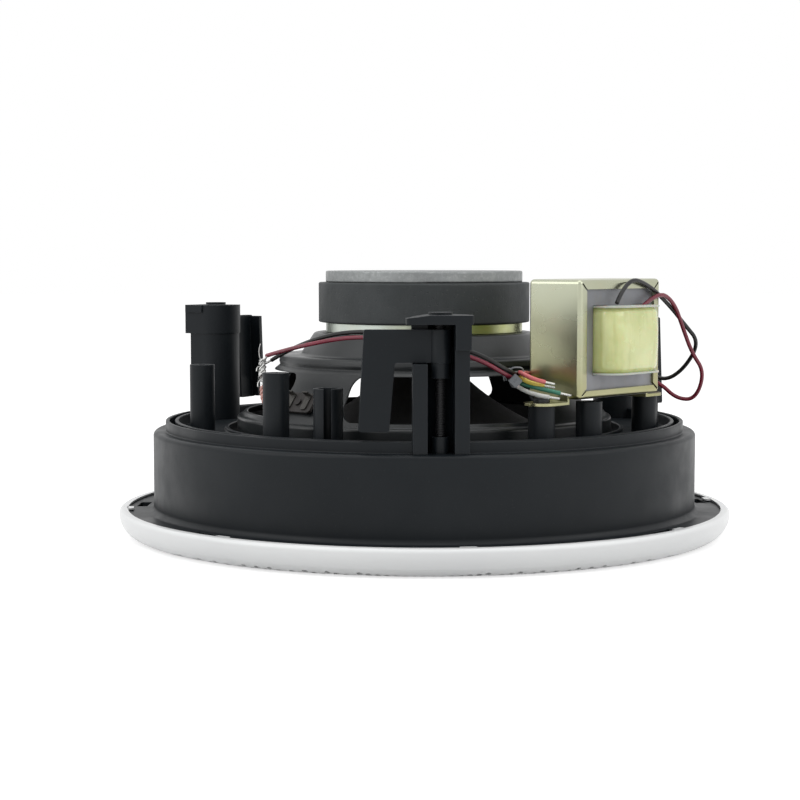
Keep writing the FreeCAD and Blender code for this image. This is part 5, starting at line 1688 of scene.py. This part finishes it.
@dataclass(frozen=True)
class Dog:
    """One clamp dog: a hub on the screw, an arm to the left and a webbed leg down from its end."""

    number: int
    place: Place
    hub_r: float = 3.5
    neck_r: float = 3.15
    neck_bottom: float = 64.1
    arm_under: float = 69.2
    top: float = 80.2
    bottom: float = 46.3
    reach: float = 25.3
    leg: float = 10.2
    splay: float = 1.9
    plate: float = 2.8
    web_depth: float = 4.6
    web: float = 2.0
    relief: float = 8.0
    armpit: float = 0.9
    rounds: Pair = (0.6, 0.8)
    web_inside: Pair = (0.4, 0.3)
    bore: float = 1.95

    def build(self) -> None:
        """Builds the dog and lets it swing on its own body."""
        half = self.plate / 2
        inner = self.reach - self.leg
        web_in = self.reach - self.web
        foot = self.reach + self.splay
        elbow, toe = self.rounds
        web_top, web_bottom = self.top - self.web_inside[0], self.bottom + self.web_inside[1]
        arm = rounded_line([
            (0, self.arm_under), (0, self.top), (-self.reach, self.top, elbow), (-foot, self.bottom, toe),
            (-inner - self.splay, self.bottom, toe), (-inner, self.arm_under, self.armpit)])
        web = [(-web_in, web_top), (-self.reach, web_top), (-foot, web_bottom),
               (-web_in - self.splay, web_bottom)]
        low, high = self.bottom - PAST, self.bottom + self.relief
        relief = [(PAST - web_in, low), (-foot - PAST, low), (-foot - PAST, high), (PAST - web_in, high)]
        web_back = half + self.web_depth

        def post(radius: float, bottom: float, height: float) -> Mesh:
            """A round post about the screw."""
            return solid(add_prism, circle(radius), bottom, height, self.place)

        def plate(face: Profile, near: float, far: float) -> Mesh:
            """An upright plate beside the screw."""
            return solid(add_wall, face, near, far, self.place)

        piece = carved(f"clamp_dog_{self.number}", post(self.hub_r, self.arm_under, self.top), [
            ("UNION", post(self.neck_r, self.neck_bottom, self.arm_under + OVERLAP)),
            ("UNION", plate(arm, -half, half)),
            ("UNION", plate(web, half - OVERLAP, web_back)),
            ("DIFFERENCE", plate(relief, half + self.plate, web_back + PAST)),
            ("DIFFERENCE", post(self.bore, self.neck_bottom - PAST, self.top + PAST))])
        settle(piece, BLACK_MOULDING, f"{Body.CLAMP.value}{self.number}", f"clamp_{self.number}")


@dataclass(frozen=True)
class PressedBasket:
    """The driver's pressed basket: neck, top, landing with a rolled edge, four legs and front flange."""

    neck_r: float = 17.0
    top_z: float = 75.8
    top_r: float = 41.6
    landing_in_r: float = 47.0
    landing_out_r: float = 54.3
    landing_z: float = 67.5
    bead: float = 0.8
    bead_z: float = 65.2
    leg_top: Pair = (56.5, 62.3)
    leg_foot: Pair = (69.2, 44.9)
    wall: Pair = (71.0, 44.4)
    flange_r: float = 82.5
    flange_z: float = 36.1
    sheet: float = 1.0
    window: Pair = (46.2, 61.9)
    window_corner: float = 5.0
    window_start: float = 6.0
    window_sweep: float = 64.0
    steps: int = 240

    def line(self) -> Profile:
        """The basket's outer side, from its neck out to the front flange.

        Returns:
            Points of (radius, height).
        """
        inside, outside = self.landing_in_r, self.landing_out_r
        return rounded_line([
            (self.neck_r, self.top_z), (self.top_r, self.top_z, 1.8), (inside, self.landing_z, 1.6),
            (outside, self.landing_z, 1.4), (outside + self.bead, self.bead_z, 1.2),
            (outside + self.bead / 2, self.bead_z - 1.5, 0.5), (*self.leg_top, 2.0),
            (*self.leg_foot, 1.0), (*self.wall, 1.3), (self.wall[0], self.flange_z, 1.0),
            (self.flange_r, self.flange_z)])

    def window_cutter(self, work: Mesh, middle: float) -> None:
        """Adds a curved block with rounded corners that cuts one window.

        Args:
            work: The mesh that gets it.
            middle: The window's middle angle in degrees.
        """
        low, high = self.window
        corner = self.window_corner
        length = math.radians(self.window_sweep) * (self.leg_top[0] + self.leg_foot[0]) / 2
        ends = [corner * (1 - math.cos(math.radians(90 * k / 8))) for k in range(9)]
        stations = ends + [length * k / 24 for k in range(3, 22)]
        stations += [length - along for along in reversed(ends)]
        rings = []
        for along in stations:
            short = max(0.0, corner - min(along, length - along))
            cut = corner - math.sqrt(max(corner ** 2 - short ** 2, 0.0))
            angle = middle - self.window_sweep / 2 + self.window_sweep * along / length
            rings.append([Vector((*polar(r, angle), z)) * MM for r, z in (
                (self.landing_in_r, low + cut), (self.flange_r, low + cut), (self.flange_r, high - cut),
                (self.landing_in_r, high - cut))])
        add_loft(work, rings)

    def build(self) -> None:
        """Turns the basket, cuts its windows and replaces its nodes."""
        shell = solid(add_turned, sheet_outline(self.line(), self.sheet), self.steps)
        piece = carved("pressed_basket", shell, [
            ("DIFFERENCE", solid(self.window_cutter, self.window_start + 90 * k)) for k in range(4)])
        settle(piece, BLACK_PAINT, Body.HOUSING.value,
               "basket", "basket_legs", "basket_landing", "basket_top")


@dataclass(frozen=True)
class ClampScrew:
    """One long clamp screw: a pan head with a round recess under the baffle and a thread up to its tip."""

    number: int
    centre: Pair
    shank_r: float = 1.75
    root_r: float = 1.5
    pitch: float = 0.8
    head: Pair = (33.6, 36.0)
    head_rise: tuple[Pair, ...] = (
        (0.6, 1.0), (1.0, 0.9), (1.15, 0.05), (2.4, 0.02), (3.1, 0.35), (3.4, 1.1), (3.4, 2.4), (0.6, 2.4))
    thread: tuple[Pair, ...] = ((0.0, 0.0), (0.3, 1.0), (0.5, 1.0), (0.8, 0.0))
    tip: float = 83.8
    taper: float = 2.0
    sunk: float = 0.2
    core_grows: float = 0.02
    core_sunk: float = 0.3
    bevel: Pair = (0.5, 0.6)
    sides: int = 24
    head_sides: int = 48

    def build(self) -> None:
        """Builds the screw and lets it turn on its own body."""
        low, high = self.head
        head = [(r, low + rise) for r, rise in self.head_rise]
        work = solid(add_turned, head, self.head_sides, 0.0, 360.0, self.centre)
        rings = []
        for k in range(-self.sides, int((self.tip - high) / self.pitch * self.sides)):
            place = set_at(self.centre, 360 * k / self.sides)
            base = high + self.pitch * k / self.sides
            taper = min(1.0, max(0.0, (self.tip - base) / self.taper)) if base > high else 1.0
            rings.append([
                place(self.root_r + (self.shank_r - self.root_r) * crest * taper, 0.0,
                      min(max(base + share * self.pitch, high - self.sunk), self.tip))
                for share, crest in self.thread])
        add_loft(work, rings, closed=False, caps=False)
        core_r, foot = self.root_r + self.core_grows, high - self.core_sunk
        inset, rise = self.bevel
        core = [(0.0, foot), (core_r, foot), (core_r, self.tip - rise), (self.root_r - inset, self.tip),
                (0.0, self.tip)]
        add_turned(work, core, self.sides, centre=self.centre)
        piece = finished_mesh(f"long_screw_{self.number}", work)
        settle(piece, LONG_SCREW, f"{Body.SCREW.value}{self.number}", f"clamp_screw_{self.number}")


def dress_nodes(nodes: dict[str, bpy.types.Object], finishes: dict[str, Finish]) -> None:
    """Gives each CAD node that stays in view its finish.

    Args:
        nodes: The CAD nodes by name.
        finishes: The finish of each node by name.
    """
    for name, finish in finishes.items():
        for place in nodes[name].material_slots:
            place.material = finish.material()
        LOG.info("%s dressed as %s", name, finish.slot)


def main() -> None:
    """Builds the whole scene round the frame."""
    logging.basicConfig(level=logging.INFO, format="%(name)s: %(message)s")
    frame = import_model()
    studio = Studio()
    studio.camera()
    Wiring().build()
    dress_nodes(frame["nodes"], NODE_FINISHES)
    for part in (HousingShell(), PressedBasket(), GrillePan(), Surround(), Spider(), Transformer()):
        part.build()
    clamps = ClampSet()
    for number, angle in enumerate(clamps.angles(), 1):
        place = clamps.place(angle)
        screw = ClampScrew(number, polar(clamps.axis_r, angle))
        for part in (Tower(number, place), Dog(number, place), screw):
            part.build()
    studio.build()


if __name__ == "__main__":
    main()
